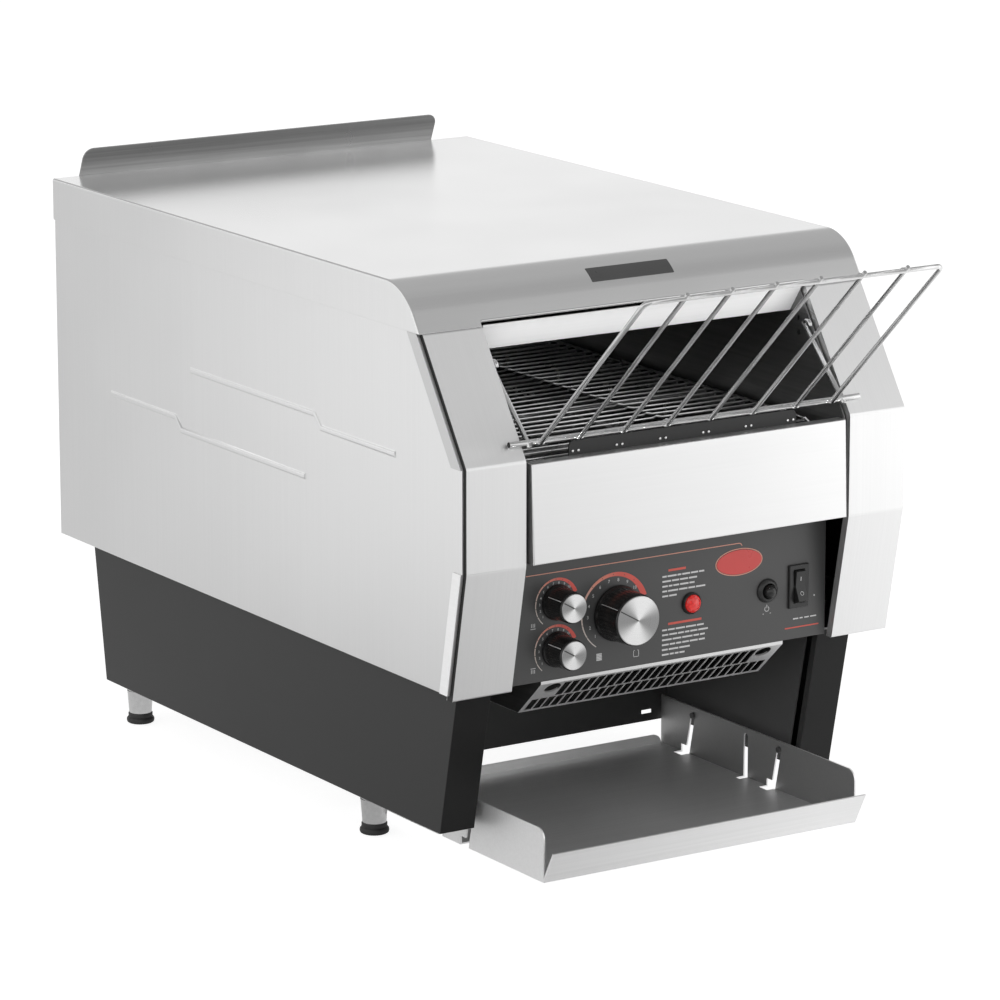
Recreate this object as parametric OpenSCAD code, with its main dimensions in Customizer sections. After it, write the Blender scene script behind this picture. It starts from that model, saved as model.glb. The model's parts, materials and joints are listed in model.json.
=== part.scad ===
// Conveyor toaster: stainless casing on a black painted base.
// Drawn with y = 0 at the front face of the corner trims, +y to the rear, z = 0 on the counter.
// Every part passes through seated(), which moves the model to the centre of its own footprint.

/* [Casing] */
// Width over the cover's side flanges
body_w = 368; // [350:1:400]
// Depth from the front face of the corner trims to the deflector's rear face
body_d = 575; // [555:1:620]
// Height of the top above the counter
body_h = 411; // [405:1:425]
// Thickness of the casing sheet
skin = 1.2; // [1:0.1:1.6]
// Height of the cover's side flanges
flange_h = 31.2; // [26:0.2:34]
// Outside radius of the cover's front bend
cover_bend = 40; // [30:1:44]
// How far the cover's front lip stands behind the front face
lip_back = 54.6; // [50:0.2:60]
// Height of the side panels' lower edge
side_z = 138; // [134:0.5:142]
// Height of the notch in the cover's lip over the opening
lip_notch = 3; // [2:0.5:5]
// Width of the pressed stiffening beads
bead_w = 5; // [4:0.5:8]
// How far the beads stand out
bead_h = 1; // [0.6:0.1:1.1]
// Height of the upper bead's rear part
bead_high = 300.5; // [294:0.5:304]
// Height of the lower bead's rear part
bead_low = 262; // [254:0.5:268]
// How far each bead steps down towards the front
bead_step = 8.5; // [6:0.5:12]
// Length of each bead
bead_len = 281; // [240:1:300]

/* [Corner trims] */
// Width of each corner trim
trim_w = 50; // [46:0.5:56]
// Height of the upper fold
fold_high = 297.5; // [294:0.5:302]
// Height of the lower fold
fold_low = 225.2; // [221:0.2:228]
// Height of the trims' foot
trim_foot = 134; // [130:0.5:137]
// How far the trims' foot stands behind the front face
foot_back = 18; // [14:0.5:22]
// How far the side panels' front edges stand behind the trims' face
side_set = 3.2; // [2:0.2:4]
// Depth of the trims' outer return
trim_wrap = 8; // [6:0.5:8.5]
// Width of the raised strips along the side panels' sloping edges
edge_strip = 10; // [8:0.5:13]
// Depth of the trims' inner return
trim_return = 6; // [4:0.5:7]

/* [Rear deflector] */
// How far the deflector's ends stand in from the casing's sides
defl_in = 28.5; // [24:0.5:50]
// How far the deflector's middle stands left of the casing's
defl_shift = 5.5; // [0:0.5:8]
// Height of the lip above the top
defl_h = 21.5; // [14:0.5:26]
// How far the lip leans forward
defl_lean = 9; // [4:0.5:12]
// Thickness of the deflector
defl_t = 1.5; // [1.2:0.1:2]
// Height of its fixing flange below the top
defl_flange = 40; // [25:1:60]
// Radius of the lip's top corners
defl_corner = 8; // [4:0.5:12]

/* [Inner frame] */
// Gap between a trim's inner edge and the inner plate
plate_gap = 2; // [1.5:0.5:3]
// Thickness of the inner plates
plate_t = 1.2; // [1:0.1:1.6]
// How far the inner plates stand behind the trims' face
plate_set = 5; // [4:0.5:7]
// Gap between the rear panel and the inner plates
plate_rear_gap = 28; // [26:0.5:34]
// Thickness of the chassis pan
pan_t = 1.5; // [1.2:0.1:2]
// Height of the pan's side flanges
pan_flange = 20; // [12:1:30]
// Depth of the tunnel roof's underside below the top
roof_drop = 49; // [45:1:53]
// How far the lead-in strip runs back
strip_run = 14.5; // [12:0.5:18]

/* [Belt] */
// Height of the belt's carrying face
belt_z = 290; // [287:0.5:292]
// Gap between the belt's edge and each inner plate
belt_gap = 5; // [3:0.5:12]
// Diameter of the belt's cross wires
wire_d = 2; // [1.6:0.1:2.4]
// Distance between cross wires
wire_pitch = 12; // [11:0.5:16]
// Radius of the belt's turn, to the wires' centres
turn_r = 23; // [21:0.5:24]
// Front shaft's distance behind the front face
front_axle_y = 44; // [42:0.5:50]
// Drive shaft's distance from the rear face
drive_axle_gap = 105; // [100:1:125]
// Diameter of both shafts
shaft_d = 12; // [10:0.5:13]
// Number of sprockets on each shaft
sprockets_n = 4; // [3:1:5]
// Width of a sprocket
sprocket_w = 6; // [4:0.5:9]
// Number of teeth on a belt sprocket
belt_teeth = 12; // [10:1:14]

/* [Heating] */
// Number of heating elements above and below the belt
heaters_n = 5; // [4:1:6]
// Diameter of a heating element
heater_d = 8; // [6.5:0.5:9]
// Depth of the upper elements below the tunnel roof
heater_under = 11; // [10:1:20]
// Height of the lower elements
heater_low = 261; // [258:1:262]
// First element's distance behind the front shaft
heater_first = 112; // [96:1:116]
// Last element's distance before the drive shaft
heater_last = 30; // [26:1:38]

/* [Drive] */
// Radius of the shaft's chain sprocket
chain_r_big = 30; // [28:0.5:32]
// Radius of the motor's chain sprocket
chain_r_small = 15; // [14:0.5:16]
// Motor shaft's distance in front of the drive shaft
motor_ahead = 90; // [86:1:100]
// Motor shaft's distance below the drive shaft
motor_below = 41; // [41:1:48]
// Diameter of the motor
motor_d = 36; // [32:1:38]
// Length of the motor
motor_len = 92; // [70:1:110]
// Diameter of the cooling fan's blades
fan_d = 72; // [60:1:74]
// Width of the fan frame's rim round its blades
fan_rim = 4; // [3:0.5:6]
// Depth of the fan
fan_t = 25; // [20:0.5:25.5]
// Distance of the fan's axis from the casing's side
fan_in = 96; // [64:1:114]
// Height of the fan's axis
fan_z = 196; // [190:1:230]

/* [Front] */
// Gap between the front panel and each trim
panel_gap = 4; // [3:0.5:5]
// Height of the front panel's top edge
panel_top = 295; // [290:0.5:297]
// How far the front panel's foot stands proud of its top
panel_tilt = 2.7; // [1:0.1:4]
// Height of the rounded tongue on the guard strip
guard_tongue = 14; // [8:0.5:16]
// How far the tongue's ends stand in from the front panel's ends
guard_in = 36; // [20:1:40]
// Front face of the control panel behind the trims' face
control_back = 25; // [23:0.5:28]
// Height of the control panel's lower edge
control_z = 135.6; // [132:0.2:137]
// Depth of the control box
control_depth = 125; // [110:1:130]
// Depth of the grille box below the control panel
grille_drop = 28.6; // [20:0.2:32]
// Number of slots in the lower row of the grille
grille_slots = 28; // [16:1:30]

/* [Controls] */
// Distance of the small knobs from the left inner plate
small_knob_in = 39; // [36:0.5:44]
// Height of the upper small knob
upper_knob_z = 190; // [188:0.5:196]
// Height of the lower small knob
lower_knob_z = 157; // [152:0.5:159]
// Radius of the small knobs
small_knob_r = 11; // [9:0.2:13]
// Height of the small knobs
small_knob_h = 22; // [16:0.5:26]
// Distance of the large knob from the left inner plate
large_knob_in = 88.8; // [84:0.2:92]
// Height of the large knob's axis
large_knob_z = 175.3; // [170:0.2:180]
// Radius of the large knob
large_knob_r = 18.2; // [15:0.2:21]
// Height of the large knob
large_knob_h = 26; // [20:0.5:30]
// Distance of the lamp from the middle
lamp_x = 18.2; // [8:0.2:30]
// Radius of the lamp's bezel
lamp_r = 7.8; // [6.6:0.2:10]
// Distance of the push button from the right inner plate
button_in = 49.3; // [44:0.1:72]
// Radius of the push button's cap
button_r = 4.7; // [3.5:0.1:6]
// Travel of the push button
button_travel = 3; // [2:0.5:3.5]
// Distance of the rocker switch from the right inner plate
switch_in = 23; // [18:0.5:28]
// Height of lamp, button and switch
row_z = 173.8; // [165:0.2:185]
// Width of the switch's bezel
switch_w = 16.5; // [14:0.5:20]
// Height of the switch's bezel
switch_h = 31; // [26:0.5:36]
// Rest angle of the rocker from its middle
rocker_tilt = 9; // [5:1:12]

/* [Loading rack] */
// How far the bar reaches over each trim
bar_over = 10.8; // [4:0.2:31]
// Diameter of the bar
bar_d = 4; // [3:0.2:5]
// Distance of the bar up the trims' slope
bar_up = 12.4; // [9:0.2:16]
// Angle of the rack above the counter
rack_rise = 43.2; // [38:0.1:50]
// Length of the rack
rack_len = 168; // [140:0.2:200]
// How far the wires' plane stands in front of the bar's axis
wire_set = 1.5; // [0:0.5:2]
// Distance of the rack's side wires from the inner plates
rack_in = 11.7; // [9:0.1:20]
// Diameter of the frame wire
frame_wire = 3.5; // [3:0.1:4]
// Diameter of the inner wires
inner_wire = 3; // [2.4:0.1:3.5]
// Number of inner wires
inner_n = 6; // [4:1:9]
// How far the inner wires stand past the top bar
wire_tip = 4.4; // [3:0.2:12]
// Hook hole's distance behind the front face
hook_y = 49.5; // [46:0.5:52]
// Depth of the hook hole below the tunnel roof
hook_under = 8; // [6:0.5:12]
// Clearance between pieces that rest on each other
seat = 0.3; // [0.2:0.05:0.4]

/* [Base] */
// How far the base stands in from the casing's sides
base_inset = 19; // [15:0.5:24]
// Width of each base leg box
leg_w = 28; // [24:0.5:32]
// Height of the base's lower edge
base_z = 28; // [24:0.5:32]
// Front of the base at its lower edge
base_front = 60.3; // [56:0.2:64]
// Rear gap of the base at its lower edge
base_rear = 36.7; // [30:0.2:44]
// Forward lean of the base's front over its height
front_lean = 23.5; // [16:0.5:26]
// Backward lean of the base's rear over its height
rear_lean = 17; // [10:0.5:20]
// How far the inner liners stand behind the leg's face
liner_set = 13; // [10:0.5:24]
// Distance of the cross panel behind the front face
cross_y = 224.5; // [224:0.5:232]
// Height of the cross panel
cross_h = 60; // [50:1:60.5]
// Diameter of a foot's top
foot_d = 21; // [18:0.5:24]
// How far the feet's axes stand in from the base's sides
foot_in = 13; // [12:0.5:15]
// Front feet behind the front face
foot_front_y = 168; // [120:1:200]
// Rear feet before the casing's rear
foot_rear_gap = 66; // [58:1:90]
// Height of the rubber pads
pad_h = 8; // [6:0.5:10]

/* [Tray] */
// Gap between the tray and each liner
tray_gap = 6; // [5.5:0.5:7]
// Height of the tray's underside
tray_z = 8; // [6:0.5:9]
// Height of the tray's walls
tray_wall = 37.8; // [36:0.2:39]
// Front of the tray's floor before the front face
tray_front = 17.4; // [10:0.2:30]
// Rear of the tray before the cross panel
tray_rear_gap = 2.5; // [2:0.5:4]
// Height of the flared front wall
flare_h = 23; // [16:0.5:28]
// How far the front wall flares out
flare_out = 12; // [6:0.5:16]
// Height of the rear lip
tray_lip = 8; // [5:0.5:12]
// Width of the tray's slots
slot_w = 5; // [4.6:0.1:6]
// Rear slot behind the front face
slot_rear_y = 181; // [176:0.5:190]
// Middle slot behind the front face
slot_mid_y = 114; // [108:0.5:124]
// Front slot behind the front face
slot_front_y = 73; // [66:0.5:84]
// How far the sloped slots run back towards the floor
slot_run = 7; // [4:0.5:12]
// How much wider the sloped slots are at the floor
mouth_w = 5.2; // [3:0.2:7]
// Height of their wider foot
mouth_h = 6.5; // [4:0.5:9]
// How far the slots cut into the floor
notch_in = 7; // [5:0.5:10]

/* [Hidden] */
$fn = 48;

// Widths, measured from the middle
half = body_w / 2;
trim_x = half - trim_w;
plate_x = trim_x - plate_gap;
plate_out = plate_x + plate_t;
side_x = half - skin;
trim_edge = side_x - skin - seat;
base_x = half - base_inset;
liner_x = base_x - leg_w;
tray_x = liner_x - tray_gap;
panel_x = trim_x - panel_gap;
belt_half = plate_x - belt_gap;
rack_half = plate_x - rack_in;
bar_half = trim_x + bar_over;
defl_half = half - defl_in;
guard_half = panel_x - guard_in;
foot_x = base_x - foot_in;
fan_x = half - fan_in;
fan_side = fan_d + 2 * fan_rim;
small_knob_x = plate_x - small_knob_in;
large_knob_x = plate_x - large_knob_in;
button_x = plate_x - button_in;
switch_x = plate_x - switch_in;

// Heights and depths
lip_z = body_h - flange_h;
roof_z = body_h - roof_drop;
heater_high = roof_z - heater_under;
hook_z = roof_z - hook_under;
rear_y = body_d - defl_t;
rear_in = rear_y - skin;
plate_rear = rear_in - plate_rear_gap;
pan_top = side_z + pan_t;
plate_top = lip_z - 1;
control_rear = control_back + defl_t;
box_rear = control_back + control_depth;
trim_line = [[lip_back, lip_z], [0, fold_high], [0, fold_low], [foot_back, trim_foot]];
slope_a = atan2(lip_z - fold_high, lip_back);
cut = 1;

// Beads: each one's rear end and the length behind its step
bead_upper_rear = 368;
bead_upper_run = 175;
bead_lower_rear = rear_in - 84;
bead_lower_run = 97;

// Rack: bar on the trims' slope, wires straight up from it
bar_y = bar_up * cos(slope_a) - (bar_d / 2 + seat) * sin(slope_a);
bar_z = fold_high + bar_up * sin(slope_a) + (bar_d / 2 + seat) * cos(slope_a);
rack_reach = (rack_len + wire_tip) * cos(rack_rise) + (inner_wire / 2 + wire_set) * sin(rack_rise) - bar_y;
y_mid = (body_d - rack_reach) / 2;
arm_x = plate_x - frame_wire / 2 - seat;
hook_r = frame_wire / 2 + seat;

// Belt
belt_axle_z = belt_z - wire_d / 2 - turn_r;
drive_axle_y = body_d - drive_axle_gap;
belt_run = drive_axle_y - front_axle_y;
belt_loop_len = 2 * belt_run + 2 * PI * turn_r;
wires_n = round(belt_loop_len / wire_pitch);
wire_gap = 0.05;
band_t = 0.8;
band_w = 4;
bands_n = 5;
band_r = turn_r - wire_d / 2 - wire_gap;
tip_r = band_r - band_t - seat;
root_r = tip_r - 4;
shaft_r = shaft_d / 2;
bearing_r = shaft_r + 4;
bearing_flange = 4;
running = 0.1;

// Discharge path: guide around the belt's rear turn, then the chute
guide_gap = 39;
guide_r = turn_r + guide_gap;
guide_low = -70;
guide_high = 25;
chute_start = [drive_axle_y + guide_r * cos(guide_low), belt_axle_z + guide_r * sin(guide_low)];
chute_end = [cross_y - 19.5, base_z + cross_h - 6];
chute_wall = 10;
chute_clear = 9.2;
pan_open_y = chute_end[0] + (pan_top - chute_end[1]) * (chute_start[0] - chute_end[0]) / (chute_start[1] - chute_end[1]) + chute_clear;

// Heating
heater_r = heater_d / 2;
heater_y0 = front_axle_y + heater_first;
heater_step = (drive_axle_y - heater_last - heater_y0) / (heaters_n - 1);
bush_r = heater_r + 2.5;

// Drive
motor_y = drive_axle_y - motor_ahead;
motor_z = belt_axle_z - motor_below;
chain_x = plate_out + 14;
chain_w = 3;
motor_shaft_r = 4;
bracket_x = chain_x + chain_w + 2.5;
bracket_t = 1.5;
gearbox_t = side_x - skin - 2 - bracket_x - bracket_t;
gearbox_half = 24;

// Controls
stem_r = 3;
neck_r = 4.5;
control_top = fold_low + 0.8;
panel_foot_y = -panel_tilt - 0.6;
grille_left = 26.3 - plate_x;
grille_right = plate_x - 35.3;
regulator_r = 14;
regulator_len = 24;
main_regulator_r = 20;
main_regulator_len = 30;
grille_floor = control_z - grille_drop;
button_out = 8.3;
rocker_r = switch_h / 2 - 3.9;
rocker_w = switch_w - 8.5;
rocker_y = control_back - 1;
rocker_depth = 5.5;

// Base and tray
base_top = side_z;
base_hgt = base_top - base_z;
base_rear_y = body_d - base_rear;
tray_back = cross_y - tray_rear_gap;
tray_t = skin;
slot_top = tray_z + tray_wall - 4 - slot_w / 2;
pin_r = slot_w / 2 - seat;
foot_rear_y = body_d - foot_rear_gap;

// ---- helpers ----
module seated() translate([0, -y_mid, 0]) children();
module along_x(x0, x1) translate([x0, 0, 0]) rotate([90, 0, 90]) linear_extrude(x1 - x0) children();
module along_y(y0, y1) translate([0, y1, 0]) rotate([90, 0, 0]) linear_extrude(y1 - y0) children();
module along_z(z0, z1) translate([0, 0, z0]) linear_extrude(z1 - z0) children();
module slab(x0, x1, y0, y1, z0, z1) translate([x0, y0, z0]) cube([x1 - x0, y1 - y0, z1 - z0]);
module rod_x(x0, x1, y, z, r) translate([x0, y, z]) rotate([0, 90, 0]) cylinder(h = x1 - x0, r = r);
module rod_y(y0, y1, x, z, r) translate([x, y1, z]) rotate([90, 0, 0]) cylinder(h = y1 - y0, r = r);
module pair() { children(); mirror([1, 0, 0]) children(); }
module sided(side) mirror([side < 0 ? 1 : 0, 0, 0]) children();

function unit(v) = v / norm(v);
function rear_normal(a, b) = let (u = unit(b - a)) [-u[1], u[0]];
function reversed(p) = [for (i = [len(p) - 1:-1:0]) p[i]];
// A folded line moved by d to its rear side; its ends stay at their own heights
function inset_line(p, d) = [for (i = [0:len(p) - 1])
    i == 0 ? p[0] + [d / rear_normal(p[0], p[1])[0], 0]
    : i == len(p) - 1 ? p[i] + [d / rear_normal(p[i - 1], p[i])[0], 0]
    : let (a = rear_normal(p[i - 1], p[i]), b = rear_normal(p[i], p[i + 1])) p[i] + d * (a + b) / (1 + a * b)];
// The same with square ends
function offset_line(p, d) = [for (i = [0:len(p) - 1])
    i == 0 ? p[0] + d * rear_normal(p[0], p[1])
    : i == len(p) - 1 ? p[i] + d * rear_normal(p[i - 1], p[i])
    : let (a = rear_normal(p[i - 1], p[i]), b = rear_normal(p[i], p[i + 1])) p[i] + d * (a + b) / (1 + a * b)];
module level_sheet(p, t) polygon(concat(p, reversed(inset_line(p, t))));
module folded_sheet(p, t) polygon(concat(p, reversed(offset_line(p, t))));
function arc(c, r, a0, a1, n) = [for (i = [0:n]) let (a = a0 + (a1 - a0) * i / n) c + r * [cos(a), sin(a)]];
// Closed loop round two circles
function loop_line(c1, r1, c2, r2, n = 20) = let (d = c2 - c1, f = atan2(d[1], d[0]), b = acos((r1 - r2) / norm(d)))
    concat(arc(c1, r1, f + b, f + 360 - b, n), arc(c2, r2, f - b, f + b, n));
module rounded_top(w, z0, z1, r) {
    translate([-w, z0]) square([2 * w, z1 - z0 - r]);
    translate([r - w, z0]) square([2 * (w - r), z1 - z0]);
    for (s = [-1, 1]) translate([s * (w - r), z1 - r]) circle(r);
}

// ---- casing ----
// Outside line of the cover's section from rear to lip, moved in by d
cover_apex = lip_back + flange_h / tan(slope_a);
cover_bend_y = cover_apex + cover_bend * tan(slope_a / 2);
function cover_line(d) = concat([[rear_y, body_h - d]],
    arc([cover_bend_y, body_h - cover_bend], cover_bend - d, 90, 90 + slope_a, 16),
    [[lip_back + d / sin(slope_a), lip_z]]);

module top_cover() seated() color("gainsboro") difference() {
    union() {
        along_x(-half, half) polygon(concat(cover_line(0), reversed(cover_line(skin))));
        pair() along_x(half - skin, half) polygon(concat(cover_line(0), [[rear_y, lip_z]]));
    }
    slab(-trim_x, trim_x, lip_back - cut, lip_back + lip_notch, lip_z - cut, lip_z + lip_notch);
}

module rear_deflector() seated() translate([-defl_shift, 0, 0]) color("dimgray") intersection() {
    along_x(-defl_half, defl_half) polygon([[body_d, body_h - defl_flange], [body_d, body_h],
        [body_d - defl_lean, body_h + defl_h], [rear_y - defl_lean, body_h + defl_h],
        [rear_y, body_h], [rear_y, body_h - defl_flange]]);
    along_y(body_d - defl_lean - cut * 5, body_d + cut)
        rounded_top(defl_half, body_h - defl_flange, body_h + defl_h, defl_corner);
}

side_line = inset_line(trim_line, side_set);
module side_panel(side) sided(side) {
    along_x(side_x - skin, side_x) above_sill() polygon(concat([[rear_in, side_z], [rear_in, body_h - skin]],
        [for (i = [1:len(cover_line(skin)) - 1]) cover_line(skin)[i]], side_line));
    for (i = [0, 2]) along_x(side_x - skin / 2, half) above_sill() level_sheet([side_line[i], side_line[i + 1]], edge_strip);
    bead(bead_upper_rear, bead_upper_run, bead_high);
    bead(bead_lower_rear, bead_lower_run, bead_low);
}
module above_sill() intersection() {
    children();
    translate([-cut, side_z]) square([body_d, body_h]);
}
// Pressed ridge with sloping flanks and one step down
module bead(rear, run, z) {
    line = [[rear, z], [rear - run, z], [rear - run - bead_step, z - bead_step], [rear - bead_len, z - bead_step]];
    levels = [[side_x - skin / 2, bead_w / 2], [side_x, bead_w / 2], [side_x + bead_h, bead_w / 4]];
    points = [for (l = levels, p = concat(offset_line(line, -l[1]), reversed(offset_line(line, l[1])))) [l[0], p[0], p[1]]];
    n = 2 * len(line);
    polyhedron(points, concat([for (i = [0:len(line) - 2]) [i, i + 1, n - 2 - i, n - 1 - i]],
        [for (i = [0:len(line) - 2], k = 2 * n) [k + n - 1 - i, k + n - 2 - i, k + i + 1, k + i]],
        [for (k = [0, 1], i = [0:n - 1]) let (j = (i + 1) % n) [(k + 1) * n + i, (k + 1) * n + j, k * n + j, k * n + i]]));
}
module side_panel_left() seated() color("silver") side_panel(-1);
module side_panel_right() seated() color("silver") side_panel(1);

module corner_trim(side) sided(side) {
    along_x(trim_x, trim_edge) level_sheet(trim_line, skin);
    along_x(trim_x, trim_x + skin) level_sheet(trim_line, trim_return);
    along_x(trim_edge - skin, trim_edge) level_sheet(trim_line, trim_wrap);
    along_x(trim_edge - skin, side_x - skin) level_sheet(inset_line(trim_line, trim_wrap - skin), skin);
}
module corner_trim_left() seated() color("lightgray") corner_trim(-1);
module corner_trim_right() seated() color("lightgray") corner_trim(1);

strip_y = lip_back + skin / sin(slope_a) + 0.1;
module opening_strip() seated() color("whitesmoke") along_x(-plate_x, plate_x)
    folded_sheet([[strip_y, lip_z], [strip_y + strip_run - cut, roof_z - skin], [strip_y + strip_run + 8, roof_z - skin]],
        skin);

module front_panel() seated() color("gainsboro") {
    along_x(-panel_x, panel_x) polygon([[panel_foot_y, control_top], [panel_foot_y + panel_tilt, panel_top],
        [panel_foot_y + panel_tilt + skin, panel_top], [panel_foot_y + skin, control_top]]);
    slab(-panel_x, panel_x, panel_foot_y + panel_tilt + cut / 2, guard_y, panel_top - skin, panel_top);
    slab(-panel_x, panel_x, panel_foot_y + cut / 2, control_rear, control_top, control_top + skin);
    pair() along_x(panel_x - skin, panel_x) polygon([[panel_foot_y + skin / 2, control_top],
        [panel_foot_y + panel_tilt + skin / 2, panel_top], [guard_y, panel_top], [guard_y, control_top]]);
}

guard_y = 9;
guard_low = 240;
guard_edge = 5;
function rivet_x(i) = (guard_half - guard_edge) * (2 * i / (inner_n - 1) - 1);
module guard_strip() seated() color("#2a2a2c") {
    along_y(guard_y, guard_y + skin) union() {
        translate([-plate_x, guard_low]) square([2 * plate_x, panel_top - skin - guard_low - 3]);
        translate([-panel_x + 2, guard_low]) square([2 * panel_x - 4, panel_top - skin - guard_low - 3]);
        rounded_top(guard_half, guard_low, panel_top - 4 + guard_tongue, 4);
    }
    for (i = [0:inner_n - 1], s = [-1, 1])
        rod_y(guard_y - 0.8, guard_y + skin / 2, rivet_x(i) + s * 2.3, panel_top + 3, 1);
}

// ---- inner frame ----
function heater_y(i) = heater_y0 + i * heater_step;
plate_front = inset_line(trim_line, plate_set);
module inner_plate(side) sided(side) difference() {
    union() {
        along_x(plate_x, plate_out) polygon(concat([[control_rear, pan_top], [plate_rear, pan_top],
            [plate_rear, plate_top], [plate_front[0][0], plate_top]], [plate_front[1]],
            [[plate_front[1][0], control_top + skin], [control_rear, control_top + skin]]));
        slab(plate_x - 10, plate_x + plate_t / 2, guard_y + skin, guard_y + 2 * skin, guard_low, panel_top - 12);
    }
    rod_x(plate_x - cut, plate_out + cut, front_axle_y, belt_axle_z, bearing_r);
    rod_x(plate_x - cut, plate_out + cut, drive_axle_y, belt_axle_z, bearing_r);
    for (i = [0:heaters_n - 1], z = [heater_high, heater_low])
        rod_x(plate_x - cut, plate_out + cut, heater_y(i), z, bush_r);
    rod_x(plate_x - cut, plate_out + cut, hook_y, hook_z, hook_r);
    for (p = [[10.5, 3], [9.5, -7.5], [-10.5, 1]])
        rod_x(plate_x - cut, plate_out + cut, hook_y + p[0], hook_z + p[1], hook_r);
}
module inner_plate_left() seated() color("#3a3a3c") inner_plate(-1);
module inner_plate_right() seated() color("#3a3a3c") inner_plate(1);

pan_x = side_x - skin;
pan_front = max(control_rear, foot_back + trim_wrap + seat);
module chassis_pan() seated() color("silver") {
    difference() {
        slab(-pan_x, pan_x, pan_front, rear_in, side_z, pan_top);
        slab(-plate_x, plate_x, pan_front - cut, pan_open_y, side_z - cut, pan_top + cut);
    }
    pair() slab(pan_x - pan_t, pan_x, pan_front, rear_in, side_z, side_z + pan_flange);
}

module rear_panel() seated() color("silver") difference() {
    slab(-side_x, side_x, rear_in, rear_y, side_z, body_h - skin);
    for (i = [-4:4]) rotate_slot(fan_x + i * 8, fan_z, 4, sqrt(pow(fan_d / 2, 2) - pow(i * 8, 2)) * 2 - 4);
    for (i = [-6:6]) rotate_slot(i * 16, body_h - 66, 6, 34);
    slab(inlet_x - inlet_w / 2, inlet_x + inlet_w / 2, rear_in - cut, rear_y + cut,
        inlet_z - inlet_h / 2, inlet_z + inlet_h / 2);
}
module rotate_slot(x, z, w, h) slab(x - w / 2, x + w / 2, rear_in - cut, rear_y + cut, z - h / 2, z + h / 2);

function guide_line() = arc([drive_axle_y, belt_axle_z], guide_r, guide_high, guide_low, 16);
module rear_guide() seated() color("gray") along_x(-plate_x, plate_x)
    polygon(concat(guide_line(), reversed(arc([drive_axle_y, belt_axle_z], guide_r + skin, guide_high, guide_low, 16))));

chute_dir = unit(chute_end - chute_start);
chute_up = [-chute_dir[1], chute_dir[0]] * -1;
module discharge_chute() seated() color("silver") {
    gap = seat * chute_dir;
    along_x(-plate_x, plate_x) polygon([chute_start + gap, chute_end, chute_end - skin * chute_up,
        chute_start + gap - skin * chute_up]);
    pair() along_x(plate_x - skin, plate_x) polygon([chute_start + gap - skin / 2 * chute_up, chute_end - skin / 2 * chute_up,
        chute_end + chute_wall * chute_up, chute_start + gap + chute_wall * chute_up]);
}

module tunnel_roof() seated() color("#4a4a4c") slab(-plate_x, plate_x, strip_y + strip_run, plate_rear, roof_z, roof_z + skin);

// ---- heating ----
module heaters(z) for (i = [0:heaters_n - 1]) rod_x(-plate_out - 14, plate_out + 14, heater_y(i), z, heater_r);
module upper_heaters() seated() color("#8a7468") heaters(heater_high);
module lower_heaters() seated() color("#8a7468") heaters(heater_low);
module heater_bushes() seated() color("ivory") pair() for (i = [0:heaters_n - 1], z = [heater_high, heater_low])
    difference() {
        union() {
            rod_x(plate_x - 1.5, plate_out + 3, heater_y(i), z, bush_r);
            rod_x(plate_out, plate_out + 3, heater_y(i), z, bush_r + 1.5);
        }
        rod_x(plate_x - 3, plate_out + 5, heater_y(i), z, heater_r);
    }

// ---- belt ----
module front_shaft() seated() color("lightsteelblue") rod_x(-plate_out - 8, plate_out + 8, front_axle_y, belt_axle_z, shaft_r);
module drive_shaft() seated() color("lightsteelblue") rod_x(-plate_out - 8, chain_x + chain_w + 1.5, drive_axle_y, belt_axle_z, shaft_r);

sprocket_span = belt_half - 26;
function sprocket_x(i) = -sprocket_span + 2 * sprocket_span * i / (sprockets_n - 1);
module toothed(r_root, r_tip, n, r_bore) difference() {
    polygon([for (i = [0:n - 1], k = [0:3])
        let (a = (i + [0, 0.3, 0.42, 0.88][k]) * 360 / n, r = [r_root, r_root, r_tip, r_tip][k]) r * [cos(a), sin(a)]]);
    circle(r_bore);
}
module belt_sprockets(y) for (i = [0:sprockets_n - 1]) translate([0, y, belt_axle_z]) {
    along_x(sprocket_x(i) - sprocket_w / 2, sprocket_x(i) + sprocket_w / 2) toothed(root_r, tip_r, belt_teeth, shaft_r);
    difference() {
        rod_x(sprocket_x(i) - sprocket_w, sprocket_x(i) + sprocket_w, 0, 0, shaft_r + 4);
        rod_x(sprocket_x(i) - sprocket_w - cut, sprocket_x(i) + sprocket_w + cut, 0, 0, shaft_r);
    }
}
module front_sprockets() seated() color("gray") belt_sprockets(front_axle_y);
module drive_sprockets() seated() color("gray") belt_sprockets(drive_axle_y);

module shaft_bearings() seated() color("#b08d57") pair() for (y = [front_axle_y, drive_axle_y]) difference() {
    union() {
        rod_x(plate_x - 2, plate_out + bearing_flange, y, belt_axle_z, bearing_r);
        rod_x(plate_out, plate_out + bearing_flange, y, belt_axle_z, bearing_r + 4);
    }
    rod_x(plate_x - 4, plate_out + bearing_flange + 2, y, belt_axle_z, shaft_r + running);
}

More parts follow.
